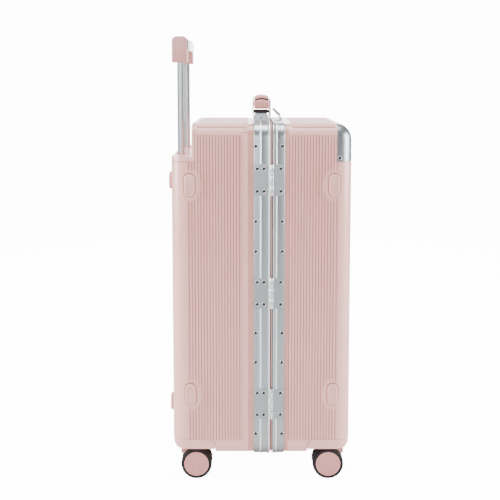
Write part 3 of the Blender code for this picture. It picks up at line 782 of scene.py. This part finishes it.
    def build(self) -> bpy.types.Object:
        """Shape the skin, store painted groove shade from each groove's depth and the flange drop,
        and fold the rim inwards.

        Returns:
            The skin.
        """
        bm = self.grid()
        gone = [f for f in bm.faces if not self.wanted(f.calc_center_median())]
        bmesh.ops.delete(bm, geom=gone, context="FACES")
        painted_shade = bm.verts.layers.float.new("rib_valley")
        outward = {}
        for vert in bm.verts:
            place, out = self.rounded(vert.co)
            share = self.rib_share(vert.co, out)
            drop = self.flange_drop(vert.co)
            rise = self.base + self.rib_depth * (1 - share) - drop
            if abs(place.x - self.stop_x) < 1e-5 or self.under_guard(vert.co):
                rise = self.base
            # Painted shade: darker at the groove bottoms and along the flange sunk beside the
            # frame.
            vert[painted_shade] = min(1.0, share + 0.55 * drop / (0.9 * MM))
            vert.co = case_point(*(place + out * rise))
            outward[vert] = out
        bmesh.ops.recalc_face_normals(bm, faces=bm.faces)
        rim = [e for e in bm.edges if e.is_boundary]
        turned_in = bmesh.ops.extrude_edge_only(bm, edges=rim)["geom"]
        for vert in [g for g in turned_in if isinstance(g, bmesh.types.BMVert)]:
            near = next(other for other in (e.other_vert(vert) for e in vert.link_edges)
                        if other in outward)
            vert.co -= outward[near] * (self.rib_depth + 0.6 * MM)
        LOG.info("%s skin has %d faces", self.half.value, len(bm.faces))
        return finish_piece(self.half.value + "_shell_ribbed_skin", bm, SHELL,
                            self.half.value, 50)


@dataclass
class FrameBand:
    """Outer face of an aluminium profile swept round the case outline; its section is in mm."""

    name: str
    half: Half
    section: Sequence[tuple[float, float]]
    finish: Finish = ALU
    slot: str = "frame_metal"

    def build(self) -> bpy.types.Object:
        """Round a block to the outline, cut it at each step of the section and raise each line.

        Returns:
            The band.
        """
        steps = [(x * MM, rise * MM) for x, rise in self.section]
        bm = soft_box(Vector((steps[0][0], -HALF_W, LOW_Z)), Vector((steps[-1][0], HALF_W, TOP_Z)))
        round_edges(bm, [e for e in bm.edges if abs((e.verts[0].co - e.verts[1].co).x) > 1e-4],
                    EDGE_R / MM, 14)
        ends = [f for f in bm.faces if abs(f.normal.x) > 0.9]
        bmesh.ops.delete(bm, geom=ends, context="FACES")
        for x, _ in steps[1:-1]:
            bmesh.ops.bisect_plane(bm, geom=list(bm.verts) + list(bm.edges) + list(bm.faces),
                                   plane_co=(x, 0, 0), plane_no=(1, 0, 0))
        flat_y, flat_z = HALF_W - EDGE_R, (TOP_Z - LOW_Z) / 2 - EDGE_R
        mid_z = (TOP_Z + LOW_Z) / 2
        for vert in bm.verts:
            rise = min(steps, key=lambda s: abs(s[0] - vert.co.x))[1]
            core_y = max(-flat_y, min(flat_y, vert.co.y))
            core_z = mid_z + max(-flat_z, min(flat_z, vert.co.z - mid_z))
            out = Vector((0, vert.co.y - core_y, vert.co.z - core_z)).normalized()
            vert.co = case_point(*(vert.co + out * rise))
        bmesh.ops.recalc_face_normals(bm, faces=bm.faces)
        bmesh.ops.solidify(bm, geom=list(bm.faces), thickness=0.7 * MM)
        return finish_piece(self.name, bm, self.finish, self.half.value, 24)


@dataclass
class Rivets:
    """Dark rivets in bright collars on the frames and hinge plates; sizes in millimetres."""

    radius: float = 2.9
    collar: float = 3.7
    face: float = 2.3
    plate_face: float = 3.3
    row_up: float = 21.2
    screw_up: tuple[float, ...] = (278, 137, 80, -77, -134, -274)

    def places(self, half: Half) -> list[tuple[float, float, float]]:
        """Rivet places of one half: depth, height over the middle and the face they sit on.

        Args:
            half: Half that the rivets hold.

        Returns:
            The three sizes of each rivet, in millimetres.
        """
        screw_x, columns = (157.8, (160.7, 173.0)) if half is Half.REAR else (207.6, (205.1,))
        found = [(screw_x, up, self.face) for up in self.screw_up]
        return found + [(x, up + row, self.plate_face) for up in HINGE_UP for x in columns
                        for row in (-self.row_up, self.row_up)]

    def pair(self, place: Matrix) -> tuple[BMesh, BMesh]:
        """Turn one head and its collar at a place whose Z points outwards.

        Args:
            place: Matrix that carries them to their place.

        Returns:
            The head and the collar.
        """
        r, c = self.radius, self.collar
        head = turned(((0, -0.3), (r, -0.3), (r, 0.35), (r * 0.7, 0.7), (r * 0.35, 0.8), (0, 0.5)),
                      14, place)
        ring = turned(((r * 0.98, -0.3), (c, -0.3), (c, 0.15), (c * 0.93, 0.4), (r * 1.04, 0.3)),
                      16, place)
        return head, ring

    def guard_screws(self) -> list[Matrix]:
        """Place two screws low on each corner guard: one on its side, one on its front.

        Returns:
            A matrix for each screw.
        """
        low = TOP_Z - 62 * MM
        found = []
        for sign in (-1, 1):
            side = case_point(DEPTH - 22.5 * MM, sign * (HALF_W + 1.6 * MM), low)
            front = case_point(DEPTH + 1.6 * MM, sign * (HALF_W - 33 * MM), low)
            found += [posed(side, "X", -sign), posed(front, "Y")]
        return found

    def build(self) -> None:
        """Turn each rivet and collar and join them by half."""
        for half in Half:
            places = [posed(case_point(x * MM, -HALF_W - face * MM, MIDDLE_Z + up * MM), "X")
                      for x, up, face in self.places(half)]
            if half is Half.FRONT:
                places += self.guard_screws()
            heads, rings = zip(*(self.pair(place) for place in places))
            finish_piece(half.value + "_rivet_heads", merged(heads), RIVET, half.value)
            finish_piece(half.value + "_rivet_collars", merged(rings), COLLAR,
                         half.value)


@dataclass
class HingeBarrels:
    """Bright sleeves over the knuckles, with a washer line between them; sizes in mm."""

    pin_x: float = 187.85
    pin_y: float = -193.5
    radius: float = 3.85
    tall: float = 59
    washer: float = 0.5

    def build(self) -> None:
        """Turn three sleeves for each hinge."""
        third = self.tall / 3
        r, h = self.radius, (third - self.washer) / 2
        section = ((r - 0.6, -h), (r - 0.3, -h), (r, 0.5 - h), (r, h - 0.5), (r - 0.3, h),
                   (r - 0.6, h))
        sleeves = []
        for up in HINGE_UP:
            for k in (-1, 0, 1):
                place = case_point(self.pin_x * MM, self.pin_y * MM,
                                   MIDDLE_Z + (up + k * third) * MM)
                sleeves.append(turned(section, 24, Matrix.Translation(place)))
        finish_piece("hinge_barrels", merged(sleeves), COLLAR, "rear")


@dataclass
class SideFoot:
    """Pill-shaped foot with a raised rim, ringed by a dark band of painted shade; its sizes are in
    millimetres.
    """

    node: str
    half: Half
    x: float
    z: float
    half_a: float = 9.9
    half_b: float = 21.4
    height: float = 8.4

    def build(self) -> None:
        """Raise the pad, press its middle in, soften the rim and lay a ring of painted shade round
        it.
        """
        place = posed(case_point(self.x, -HALF_W - 0.2 * MM, self.z), "X")
        a, b = self.half_a, self.half_b
        pad = plate(a, b, a, self.height * 0.86, place, soft=2.2, steps=8)
        rim = plate(a - 1.5, b - 1.5, a, self.height * 1.05, place, wall=1.9, soft=0.7, steps=8)
        piece = finish_piece(self.node + "_pad", merged([pad, rim]), SHELL,
                             self.half.value)
        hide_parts(self.node)
        # Painted shade: a dark ring round the foot where its shadow falls.
        shade_ring = plate(a + 1.5, b + 1.5, a + 1.5, 2.6, place, wall=2.4, soft=0.4, steps=8)
        finish_piece(self.node + "_pad_seat", shade_ring, FOOT_SHADE_RING, self.half.value)


@dataclass
class Wheel:
    """One of the twin wheels: rubber tyre round a dished hub cap; sizes in millimetres."""

    tag: str
    outward: int
    radius: float = 30
    rim_r: float = 23.9
    half_width: float = 10
    spokes: int = 5

    def build(self) -> None:
        """Turn the tyre and the hub about the wheel's own axle line."""
        body = "wheel_" + self.tag
        low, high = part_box(body)
        place = posed((low + high) / 2, "X", -self.outward)
        r, h, w = self.radius, self.rim_r, self.half_width
        tyre = ((h - 1, 1 - w), (h + 1.5, -w), (r - 1.6, 0.5 - w), (r - 0.4, 2.2 - w), (r, -4),
                (r, 4), (r - 0.4, w - 2.2), (r - 1.6, w - 0.5), (h + 1.5, w), (h - 1, w - 1))
        whole = finish_piece("tyre_" + self.tag, turned(tyre, 48, place), TYRE, body)
        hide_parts(body)
        b = 3.5
        hub = ((b, 3 - w), (h, 3 - w), (h, w - 0.6), (h - 0.8, w + 0.1), (h - 2.6, w - 0.2),
               (h - 3.6, w - 1.3), (10, w - 0.8), (8.6, w - 1.6), (b, w - 1.5))
        parts = [turned(hub, 40, place)]
        for k in range(self.spokes):
            turn = Matrix.Rotation(math.tau * k / self.spokes, 4, "Z")
            spot = place @ turn @ Matrix.Translation(mm(0, 15.8, w - 1.4))
            parts.append(plate(1.1, 5.0, 1.1, 0.9, spot, soft=0.3))
        finish_piece("hub_" + self.tag, merged(parts), TRIM, body)
        cap = ((0, w - 2.4), (5.2, w - 2.4), (5.2, w - 1.1), (4.2, w - 0.5), (0, w - 0.3))
        finish_piece("hub_cap_" + self.tag, turned(cap, 24, place), TRIM, body)


@dataclass
class Caster:
    """Swivel fork with a hood between its twin wheels."""

    half: Half
    side: Side

    def build(self) -> None:
        """Dress the fork, add its hood and race ring, then both wheels."""
        tag = self.half.value + "_" + self.side.name.lower()
        body = "caster_" + tag
        softened_copy("caster_fork_" + tag, TRIM, body, 0.4)
        joint = next(j for j in FRAME["joints"] if j["name"] == "swivel_" + tag)
        at = Vector(joint["pos_m"])
        rear = self.half is Half.REAR
        hood = soft_box(at + mm(-9 if rear else -14, -3.1, -20),
                        at + mm(14 if rear else 9, 3.1, -2.8), 1.6, 2)
        fin = plate(11, 3.1, 2.6, 16, Matrix.Translation(at + mm(-8 if rear else 8, 0, -18.6)),
                    soft=0.8)
        ring = turned(((9, -2.2), (16.4, -2.2), (16.4, -1.0), (15.4, -0.6), (9, -0.6)), 32,
                      Matrix.Translation(at))
        finish_piece("caster_hood_" + tag, merged([hood, fin]), TRIM, body)
        finish_piece("caster_race_" + tag, ring, PLATE, body)
        for letter, outward in (("a", -1), ("b", 1)):
            Wheel(tag + "_" + letter, outward).build()


@dataclass
class TopHandle:
    """Padded carry handle on two metal loops that lift in slotted posts; sizes in mm."""

    x: float = 170
    half: float = 67
    loop_at: float = 50
    frame_rise: float = 1.5
    body: str = "top_handle"

    def at(self, x: float, y: float, z: float) -> Vector:
        """Place measured from the handle's middle and the frame's top face."""
        return case_point((self.x + x) * MM, y * MM, TOP_Z + (self.frame_rise + z) * MM)

    def build(self) -> None:
        """Shape the pad, its cap strip, the loops and their cross bars."""
        h = self.half
        pad = self.strip((-15.6, -h, 24.4), (15.6, h, 43.2), 5, 4)
        piece = finish_piece("top_handle_pad", pad, TRIM, self.body)
        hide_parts("top_handle")
        cap = self.strip((-14, 3 - h, 45.3), (14, h - 3, 52.2), 3, 3)
        finish_piece("top_handle_cap", cap, SHELL, self.body)
        # Painted shade: the near-black strip under the cap and the near-black cross bars stand in
        # for shadow in the gap and under the pad.
        line = self.strip((-13.4, 4.5 - h, 42.0), (13.4, h - 4.5, 46.3), 0.5, 2)
        finish_piece("top_handle_shadow_line", line, PAINTED_SHADE_DARK, self.body)
        loops, bars = [], []
        for y in (-self.loop_at, self.loop_at):
            loops.append(plate(18.2, 23.7, 10, 8.4, posed(self.at(0, y + 4.2, 24.9), "X"),
                               wall=2.4, soft=0.6, steps=8))
            bars.append(rod(2.3, 16.4, 16, posed(self.at(0, y, 18.4), "Y")))
        finish_piece("top_handle_loops", merged(loops), COLLAR, self.body)
        finish_piece("top_handle_bars", merged(bars), PAINTED_SHADE_DARK, self.body)
        for side in Side:
            self.bracket(side)

    def bracket(self, side: Side) -> None:
        """Two low cheeks on a base plate, a keeper pin over the loop and an end screw.

        Args:
            side: Near or far bracket.
        """
        y = side.value * self.loop_at
        tag = side.name.lower()
        parts = [soft_box(self.at(-15, y - 10, -0.2), self.at(13.5, y + 10, 0.9), 0.3, 2)]
        for sign in (-1, 1):
            inner, outer = sorted((y + sign * 4.6, y + sign * 9.2))
            cheek = soft_box(self.at(-14, inner, 0), self.at(13, outer, 14.6))
            upper = [e for e in cheek.edges if min(v.co.z for v in e.verts) > self.at(0, 0, 10).z
                     and abs(e.verts[0].co.y - e.verts[1].co.y) > MM]
            round_edges(cheek, upper, 5, 5)
            parts.append(cheek)
        parts.append(rod(1.2, 9.6, 12, posed(self.at(0, y, 13.3), "X")))
        piece = finish_piece("top_handle_bracket_" + tag + "_cheeks", merged(parts), ALU,
                             "rear")
        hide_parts("top_handle_bracket_" + tag)
        screw = posed(self.at(0, y + side.value * 9.2, 6.5), "X", -side.value)
        head, ring = Rivets(radius=1.7, collar=2.6).pair(screw)
        finish_piece("top_handle_screw_" + tag, head, RIVET, "rear")
        finish_piece("top_handle_screw_ring_" + tag, ring, COLLAR, "rear")

    def strip(self, low: tuple[float, float, float], high: tuple[float, float, float],
              radius: float, steps: int) -> BMesh:
        """Strip along the handle, its top arched across its width.

        Args:
            low: Lowest corner, measured as by at().
            high: Highest corner.
            radius: Edge rounding.
            steps: Segments of the rounding.

        Returns:
            The mesh.
        """
        bm = soft_box(self.at(*low), self.at(*high), radius, steps)
        across = [e for e in bm.edges if abs((e.verts[0].co - e.verts[1].co).x) > 5 * MM]
        bmesh.ops.subdivide_edges(bm, edges=across, cuts=6, use_grid_fill=True)
        foot = self.at(0, 0, 40)
        for vert in bm.verts:
            if vert.co.z > foot.z:
                away = (vert.co.x - foot.x) / (16 * MM)
                vert.co.z -= 4.2 * MM * away * away
        return bm


@dataclass
class Trolley:
    """Telescopic trolley: tubes, grip with its metal front, and the release button."""

    leg: float = 30 * MM
    bar_tall: float = 26 * MM
    crown_mm: float = 9.5

    def build(self) -> None:
        """Dress the tubes, grip, bezel and guide."""
        for tag in ("near", "far"):
            softened_copy("trolley_upper_" + tag, TUBE, "trolley_upper", 0.3)
            softened_copy("trolley_middle_" + tag, TUBE, "trolley_middle", 0.2)
        softened_copy("trolley_button", ACETAL, "trolley_button", 0.3)
        softened_copy("trolley_bezel", SHELL, "rear", 1.0, rise=1.4 * MM)
        softened_copy("trolley_guide", PLATE, "rear", 0.3)
        self.grip()
        collars = []
        for tag in ("near", "far"):
            low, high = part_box("trolley_middle_" + tag)
            size = (high - low) / MM
            middle = Vector(((low.x + high.x) / 2, (low.y + high.y) / 2, high.z + 0.2 * MM))
            collars.append(plate(size.x / 2 + 3.2, size.y / 2 + 3.2, 5, 1.5,
                                 Matrix.Translation(middle), wall=2.5, soft=0.5))
        finish_piece("trolley_collars", merged(collars), TRIM, "rear")

    def arched(self, low: Vector, high: Vector, top_r: float) -> BMesh:
        """Block whose two long top edges are rounded far more than the rest.

        Args:
            low: Lowest corner.
            high: Highest corner.
            top_r: Rounding of the top edges that run across the case, in millimetres.

        Returns:
            The mesh.
        """
        bm = soft_box(low, high)
        crown = [e for e in bm.edges if min(v.co.z for v in e.verts) > high.z - 1e-6
                 and abs(e.verts[0].co.y - e.verts[1].co.y) > 1e-5]
        round_edges(bm, crown, top_r, 8)
        round_edges(bm, [e for e in bm.edges if e.calc_face_angle(0.0) > 0.8], 1.8, 3)
        return bm

    def grip(self) -> None:
        """Shape the bar with its two legs and set the bright plate in its front."""
        low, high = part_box("trolley_grip")
        near, far = low.y + self.leg, high.y - self.leg
        top = self.crown_mm
        bar = self.arched(Vector((low.x, near, high.z - self.bar_tall)) + mm(0.2, -4, 0),
                          Vector((high.x, far, high.z)) + mm(-0.2, 4, -0.2), top - 0.2)
        legs = [self.arched(low, Vector((high.x, near, high.z)), top),
                self.arched(Vector((low.x, far, low.z)), high, top)]
        piece = finish_piece("trolley_grip_body", merged(legs + [bar]), GRIP,
                             "trolley_upper")
        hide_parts("trolley_grip")
        inlay = soft_box(Vector((high.x, low.y, high.z)) + mm(-0.9, 2.5, -25.5),
                         high + mm(0.7, -2.5, -7.5), 0.6, 2)
        finish_piece("trolley_grip_inlay", inlay, COLLAR, "trolley_upper")


@dataclass
class Latch:
    """Flip latch: body with ears, lever with a turned lip, on the front frame."""

    tag: str

    def build(self) -> None:
        """Dress the body and the lever, and thicken the lever that stands up on top."""
        softened_copy("latch_body_" + self.tag, ALU, "front", 0.4)
        body = "latch_lever_" + self.tag
        softened_copy(body, ALU, body, 0.5)
        if self.tag == "top":
            pad = soft_box(mm(-24, -19, 0.4), mm(-4.4, 19, 5.6), 1.2, 3)
            turn = Matrix.Translation(case_point(208.5 * MM, 0, TOP_Z + 6.1 * MM)) @ (
                Matrix.Rotation(math.radians(45), 4, "Y"))
            bmesh.ops.transform(pad, matrix=turn, verts=pad.verts)
            finish_piece("latch_lever_top_pad", pad, ALU, body)


@dataclass
class Interior:
    """Linings, packing straps with their buckles, and the divider panel."""

    strap_half: float = 12.5 * MM
    strap_z: tuple[float, float] = (210 * MM, 500 * MM)

    def build(self) -> None:
        """Dress both linings and lay the straps over the rear one."""
        softened_copy("rear_lining", LINING, "rear", 0.6)
        softened_copy("front_lining", LINING, "front", 0.6)
        low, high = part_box("rear_lining")
        floor = low.x + 1.9 * MM
        straps, buckles = [], []
        for z in self.strap_z:
            straps.append(soft_box(Vector((floor, low.y + 24 * MM, z - self.strap_half)),
                                   Vector((floor + 1.6 * MM, high.y - 24 * MM,
                                           z + self.strap_half)), 0.5, 2))
            middle = Vector((floor + 1.5 * MM, (low.y + high.y) / 2, z))
            buckles.append(plate(16, 24, 5, 5, posed(middle, "Y"), soft=1.5))
        finish_piece("packing_straps", merged(straps), WEBBING, "rear")
        finish_piece("strap_buckles", merged(buckles), ACETAL, "rear")
        self.zip_panel()

    def zip_panel(self) -> None:
        """Cloth divider panel with its zip, on the floor of the front lining."""
        low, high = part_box("front_lining")
        middle = Vector((high.x, (low.y + high.y) / 2, (low.z + high.z) / 2)) + mm(-2, 0, 10)
        place = posed(middle, "Y", -1)
        panel = plate(230, 130, 24, 4, place, soft=1.8)
        finish_piece("divider_panel", panel, LINING, "front")
        zip_line = plate(226, 126, 22, 5.2, place, wall=4, soft=0.5)
        finish_piece("divider_zip", zip_line, ACETAL, "front")


def dress_fixed_nodes() -> None:
    """Give every remaining CAD node its finish, or a softened copy."""
    nodes = FRAME["nodes"]
    # The seal's near black is painted shade of the gap between the frames.
    for name, finish in (("rear_shell", SHELL), ("front_shell", SHELL), ("rear_frame", ALU),
                         ("front_frame", ALU), ("frame_seal", PAINTED_SHADE_DARK)):
        nodes[name].data.materials.clear()
        nodes[name].data.materials.append(finish.build())
    for half in ("rear", "front"):
        for side in ("near", "far"):
            softened_copy("wheel_housing_%s_%s" % (half, side), SHELL, half, 1.5,
                          rise=1.6 * MM)
    for side in ("near", "far"):
        softened_copy("corner_guard_" + side, ALU, "front", 0.4, 30)
        for level in ("upper", "lower"):
            softened_copy("back_foot_%s_%s" % (level, side), TRIM, "rear", 0.6)
    for level in ("upper", "middle", "lower"):
        for half in ("rear", "front"):
            softened_copy("hinge_%s_leaf_%s" % (half, level), PLATE, half, 0.3)
    for level in ("upper", "lower"):
        softened_copy("latch_catch_" + level, ALU, "rear", 0.3)
    softened_copy("side_handle_base", PLATE, "rear", 0.5)
    softened_copy("side_handle", TRIM, "side_handle", 0.8)


@dataclass
class Studio:
    """White sweep, soft boxes at both sides and above, and the camera."""

    distance: float = 2.0
    camera_x: float = -0.0186
    camera_z: float = 0.7697
    lens_mm: float = 77.3
    pitch_deg: float = 6.67
    shift_y: float = -0.088

    def build(self) -> None:
        """Set the stage, lights and camera."""
        self.floor()
        self.world()
        self.light("box_left", (-2.5, -0.35, 1.0), (0.0, 0.0, 0.42), 1.5, 112)
        self.light("box_right", (2.5, -0.3, 1.0), (0.0, 0.0, 0.42), 1.5, 106)
        self.light("box_top", (0.0, 0.0, 2.7), (0.0, 0.0, 0.4), 1.6, 80)
        self.light("box_behind", (0.0, 2.8, 1.3), (0.0, 0.0, 0.42), 1.6, 44)
        self.light("fill_front", (-0.5, -3.3, 1.3), (0.0, 0.0, 0.42), 1.8, 46)
        self.camera()

    def seen_white(self, tree: bpy.types.NodeTree, lit: float, seen: float) -> bpy.types.NodeSocket:
        """Strength that is bright where it is looked at and gentler where it lights the trunk.

        Args:
            tree: Node tree that gets the nodes.
            lit: Strength for lighting.
            seen: Strength for the view.

        Returns:
            The socket with the strength.
        """
        path = add_node(tree, "ShaderNodeLightPath")
        return add_node(tree, "ShaderNodeMapRange", inputs={
            "Value": path.outputs["Is Camera Ray"], "To Min": lit, "To Max": seen}).outputs[0]

    def floor(self) -> None:
        """Lay the pale floor."""
        bm = bmesh.new()
        bmesh.ops.create_circle(bm, cap_ends=True, segments=64, radius=9.0)
        mesh = bpy.data.meshes.new("floor")
        bm.to_mesh(mesh)
        bm.free()
        mat = bpy.data.materials.new("painted_sweep_white")
        mat.use_nodes = True
        shader = mat.node_tree.nodes["Principled BSDF"]
        shader.inputs["Base Color"].default_value = linear("F4F4F4")
        shader.inputs["Roughness"].default_value = 0.9
        shader.inputs["Specular IOR Level"].default_value = 0.1
        shader.inputs["Emission Color"].default_value = linear("FFFFFF")
        mat.node_tree.links.new(self.seen_white(mat.node_tree, 0.0, 13.0),
                                shader.inputs["Emission Strength"])
        mesh.materials.append(mat)
        floor = bpy.data.objects.new("floor", mesh)
        bpy.context.scene.collection.objects.link(floor)

    def world(self) -> None:
        """White surroundings."""
        world = bpy.data.worlds.new("studio")
        bpy.context.scene.world = world
        world.use_nodes = True
        tree = world.node_tree
        node = tree.nodes["Background"]
        node.inputs["Color"].default_value = linear("FFFFFF")
        tree.links.new(self.seen_white(tree, 0.45, 14.0), node.inputs["Strength"])

    def light(self, name: str, at: tuple, aim: tuple, size: float, power: float) -> None:
        """Add one square area light.

        Args:
            name: Name of the light.
            at: Its place.
            aim: The point it faces.
            size: Edge length in metres.
            power: Watts.
        """
        data = bpy.data.lights.new(name, "AREA")
        data.size = size
        data.energy = power
        lamp = bpy.data.objects.new(name, data)
        lamp.location = at
        lamp.rotation_euler = (Vector(aim) - Vector(at)).to_track_quat("-Z", "Y").to_euler()
        bpy.context.scene.collection.objects.link(lamp)

    def camera(self) -> None:
        """Place the camera at the hinge side, a little above the case top."""
        data = bpy.data.cameras.new("camera")
        data.lens = self.lens_mm
        data.sensor_width = 36.0
        data.shift_y = self.shift_y
        camera = bpy.data.objects.new("camera", data)
        near = -HALF_W + MID_Y
        camera.location = (self.camera_x, near - self.distance, self.camera_z)
        camera.rotation_euler = (math.radians(90 - self.pitch_deg), 0, 0)
        bpy.context.scene.collection.objects.link(camera)
        bpy.context.scene.camera = camera


def ridge(middle: float, half: float, base: float, height: float) -> list[tuple[float, float]]:
    """Two-sided ridge in a frame section, its crest just blunted.

    Args:
        middle: Place of its crest along the depth, in millimetres.
        half: Half its width.
        base: Height of its feet.
        height: How far it rises.

    Returns:
        Section points as place and height, in millimetres.
    """
    shape = ((-half, 0.0), (-0.18 * half, height), (0.18 * half, height), (half, 0.0))
    return [(middle + at, base + up) for at, up in shape]


# Sections of the frame bands: place along the depth and height over the case, in millimetres.
REAR_BAND = ([(154.4, 1.6), (155.2, 2.2)] + ridge(167.0, 1.5, 2.2, 0.5)
             + [(180.4, 2.2), (182.9, 3.7), (184.3, 3.5), (184.9, 0.4)])
FRONT_BAND = ((190.3, 0.4), (190.9, 3.4), (192.2, 3.6), (195.2, 2.2), (196.6, 2.9), (198.2, 2.2),
              (211.2, 2.2), (211.9, 1.6))
REAR_BEAD = ((165.5, 2.3), (166.1, 2.9), (167.9, 2.9), (168.5, 2.3))
REAR_LIP = ((181.9, 3.2), (182.5, 3.95), (184.3, 3.95), (184.9, 3.2))
FRONT_LIP = ((190.2, 3.0), (190.7, 3.8), (191.5, 3.8), (192.0, 3.0))
FRONT_BEAD = ((195.0, 2.3), (195.7, 2.95), (197.3, 2.95), (198.0, 2.3))
SEAL_BAND = ((186.3, -0.9), (186.7, 0.9), (188.6, 0.9), (189.0, -0.9))


def main() -> None:
    """Build the trunk piece by piece and report each step."""
    logging.basicConfig(level=logging.INFO, format="%(name)s: %(message)s")
    FRAME.update(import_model())
    steps: list[tuple[str, Callable[[], object]]] = [
        ("studio", Studio().build),
        ("rear skin", RibbedSkin(Half.REAR).build),
        ("front skin", RibbedSkin(Half.FRONT).build),
        ("rear band", FrameBand("rear_frame_band", Half.REAR, REAR_BAND).build),
        ("front band", FrameBand("front_frame_band", Half.FRONT, FRONT_BAND).build),
        ("rear bead", FrameBand("rear_frame_bead", Half.REAR, REAR_BEAD, BEAD).build),
        ("rear lip", FrameBand("rear_frame_lip", Half.REAR, REAR_LIP, BEAD).build),
        ("front bead", FrameBand("front_frame_bead", Half.FRONT, FRONT_BEAD, BEAD).build),
        ("front lip", FrameBand("front_frame_lip", Half.FRONT, FRONT_LIP, BEAD).build),
        ("seal line", FrameBand("seal_line", Half.REAR, SEAL_BAND, GASKET, "seal").build),
        ("fixed nodes", dress_fixed_nodes),
        ("rivets", Rivets().build),
        ("hinge barrels", HingeBarrels().build),
        ("top handle", TopHandle().build),
        ("trolley", Trolley().build),
        ("interior", Interior().build),
    ]
    for tag in ("top", "upper", "lower"):
        steps.append(("latch " + tag, Latch(tag).build))
    for half in Half:
        for level, z in FOOT_Z.items():
            node = "side_foot_%s_%s" % (half.value, level)
            steps.append((node, SideFoot(node, half, FOOT_X[half.value], z).build))
        for side in Side:
            steps.append(("caster", Caster(half, side).build))
    for name, step in steps:
        step()
        LOG.info("built %s", name)


if __name__ == "__main__":
    main()
